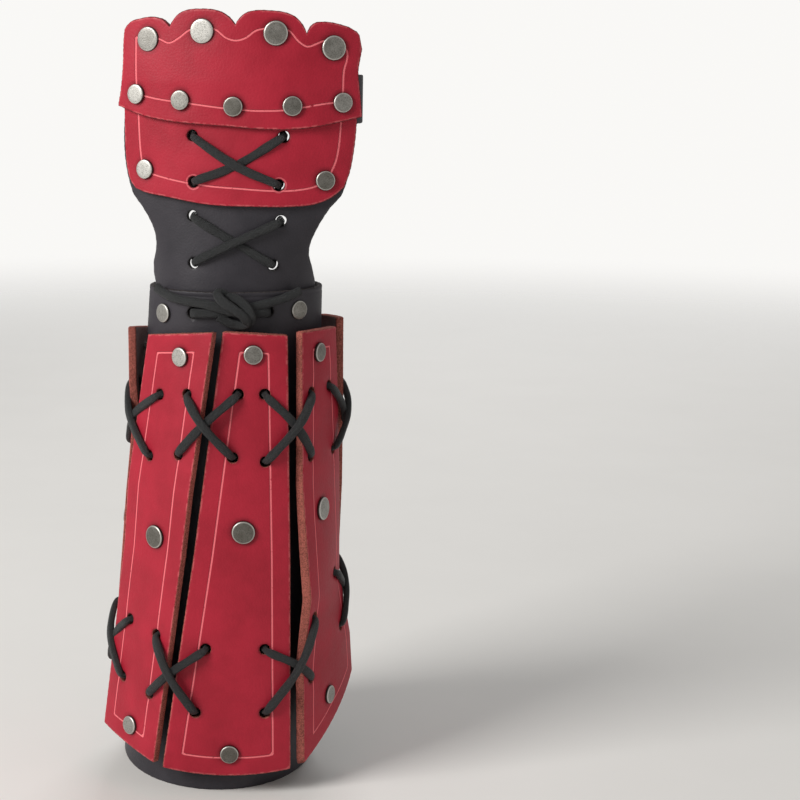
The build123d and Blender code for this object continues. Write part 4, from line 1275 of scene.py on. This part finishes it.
# Rear lace: down one side and up the other, crossing over the slit and running down inside
behind = np.array(-SLEEVE_WALL - THONG_DEPTH / 2 - 0.4)
route, ups = [], []
descent = [(row, row - 1, CROSS_LIFT) for row in range(REAR_ROWS - 1, 0, -2)]
ascent = [(row, row + 1, OVER_LIFT + 0.6) for row in range(0, REAR_ROWS - 1, 2)]
side = -1
for start_row, end_row, lift in descent + ascent:
    if start_row == 0:
        side = -side
    crest, crest_out = sleeve_point(180, REAR_FOOT + (start_row + end_row) / 2 * REAR_RISE, lift)
    start, end = rear_spot(side, start_row), rear_spot(-side, end_row)
    part, part_ups = threaded(start, end, SLEEVE_WALL, crest, crest_out, 0)
    route += [start[0] + start[1] * behind, *part[1:-1], end[0] + end[1] * behind]
    ups += [-start[1], *part_ups[1:-1], -end[1]]
    side = -side
rear_strand = thong(route, ups, THONG_WIDTH, THONG_DEPTH, rear_holes, seed=81)
rear_lace = thongs("rear_thong", [rear_strand], thong_suede)
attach(rear_lace, "forearm")
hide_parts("rear_lace")

# Rivets
end_seats, middle_seats = [], []
for name, seats in splint_rivets.items():
    deep = [(origin, normal, depth_to_sleeve(origin, normal, SLEEVE_WALL)) for origin, normal in seats]
    end_seats += [deep[0], deep[-1]]
    middle_seats += deep[1:-1]
cuff_grip = SLEEVE_WALL + SEAT_GAP + GUARD_WALL
plates_grip = 2 * (PLATE_WALL + SEAT_GAP) + GUARD_WALL
strap_grip = plates_grip + SEAT_GAP + STRAP_WALL
top_grips = [float(knuckle_lift(origin[2])) + GUARD_WALL for origin, _ in knuckle_top_rivets]


def gripped(seats, grips):
    """Seats with the depth of leather that their rivets hold: one for all, or one for each."""
    return [(*seat, grip) for seat, grip in zip(seats, np.broadcast_to(grips, len(seats)))]


# The last numbers of each group are painted reflections: how bright each cap is painted as if it caught the
# light
for group, body, cap, seats, glint in (
    ("splint_end", "forearm", SMALL_CAP, end_seats, (0.4, 0.4, 0.75, 0.5, 0.3, 0.1, 0.3, 0.5, 0.4, 0.4)),
    ("splint_middle", "forearm", LARGE_CAP, middle_seats, (0.3, 0.15, 0.1, 0.55, 0.3)),
    ("wrist", "forearm", SMALL_CAP, gripped(cuff_rivets, cuff_grip), (0.5, 0.3)),
    ("hand_plate", "hand", SMALL_CAP, gripped(hand_rivets, hand_grip), (1, 0.2)),
    ("knuckle_top", "hand", LARGE_CAP, gripped(knuckle_top_rivets, top_grips), (0.45, 1, 0.3, 0.35)),
    (
        "knuckle_foot", "hand", SMALL_CAP,
        gripped(knuckle_foot_rivets, [strap_grip, plates_grip, plates_grip, plates_grip, strap_grip]),
        (1, 0.45, 0.15, 0.2, 0.4),
    ),
):
    name, node = f"{group}_caps", f"{group}_rivets"
    caps = rivets(name, seats, cap, glint, nickel)
    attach(caps, body)
    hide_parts(node)


def pale_floor():
    """A wide floor of even pale paint that thins out into the white surroundings far away."""
    finish = Finish("pale_floor", Roughness=0.9, Specular_IOR_Level=0.1)
    away = finish.node("ShaderNodeVectorMath", {"operation": "LENGTH"}, finish.place).outputs["Value"]
    finish.feed("Base Color", finish.mix(finish.noise(9, 3, 0.6), (0.80, 0.79, 0.77), (0.84, 0.83, 0.81)))
    finish.feed("Alpha", Wire(finish, away).step(2.4, 0.9))
    mesh = bpy.data.meshes.new("floor")
    mesh.from_pydata([(-4, -4, 0), (4, -4, 0), (4, 4, 0), (-4, 4, 0)], [], [(0, 1, 2, 3)])
    mesh.materials.append(finish.material)
    floor = bpy.data.objects.new("floor", mesh)
    bpy.context.scene.collection.objects.link(floor)


def lamp(name, place, aim, width, power, colour):
    """A square soft lamp at a place, turned to shine at an aim."""
    light = bpy.data.lights.new(name, "AREA")
    light.shape = "SQUARE"
    light.size = width
    light.energy = power
    light.color = colour
    lamp_object = bpy.data.objects.new(name, light)
    lamp_object.location = place
    away = np.array(place) - np.array(aim)
    flat = math.hypot(away[0], away[1])
    lamp_object.rotation_euler = (math.atan2(flat, away[2]), 0, math.atan2(away[0], -away[1]))
    bpy.context.scene.collection.objects.link(lamp_object)


pale_floor()
lamp("key", (-1.45, -0.95, 1.2), (0, 0, 0.2), 0.9, 37, (1.0, 0.98, 0.95))
lamp("fill", (1.5, -0.8, 0.6), (0, 0, 0.2), 1.2, 2.8, (1.0, 0.96, 0.92))
lamp("rim", (0.3, 1.4, 1.3), (0, 0, 0.25), 0.9, 12, (1.0, 1.0, 1.0))

# Surroundings: white where the camera meets them, softer in reflections and softest as light
LIGHT_STRENGTH = 0.2
GLOSSY_GAIN = 0.22
CAMERA_GAIN = 0.75
world = bpy.data.worlds.new("studio")
bpy.context.scene.world = world
studio = Nodes(world)
rays = studio.node("ShaderNodeLightPath", {})
glossy, seen = (Wire(studio, rays.outputs[ray]) for ray in ("Is Glossy Ray", "Is Camera Ray"))
background = studio.tree.nodes["Background"]
background.inputs["Color"].default_value = (1.0, 0.99, 0.97, 1)
studio.plug(background.inputs["Strength"], LIGHT_STRENGTH + glossy * GLOSSY_GAIN + seen * CAMERA_GAIN)

CAMERA_PLACE = (0, -850, 370)
CAMERA_PITCH = 11.08
camera_data = bpy.data.cameras.new("camera")
camera_data.sensor_width = 36
camera_data.lens = 81
camera_data.shift_x = 0.205
camera_data.clip_end = 30
camera = bpy.data.objects.new("camera", camera_data)
camera.location = tuple((np.array(CAMERA_PLACE) + SHIFT) * MM)
camera.rotation_euler = (math.radians(90 - CAMERA_PITCH), 0, 0)
bpy.context.scene.collection.objects.link(camera)
bpy.context.scene.camera = camera
bpy.context.scene.view_settings.view_transform = "Standard"
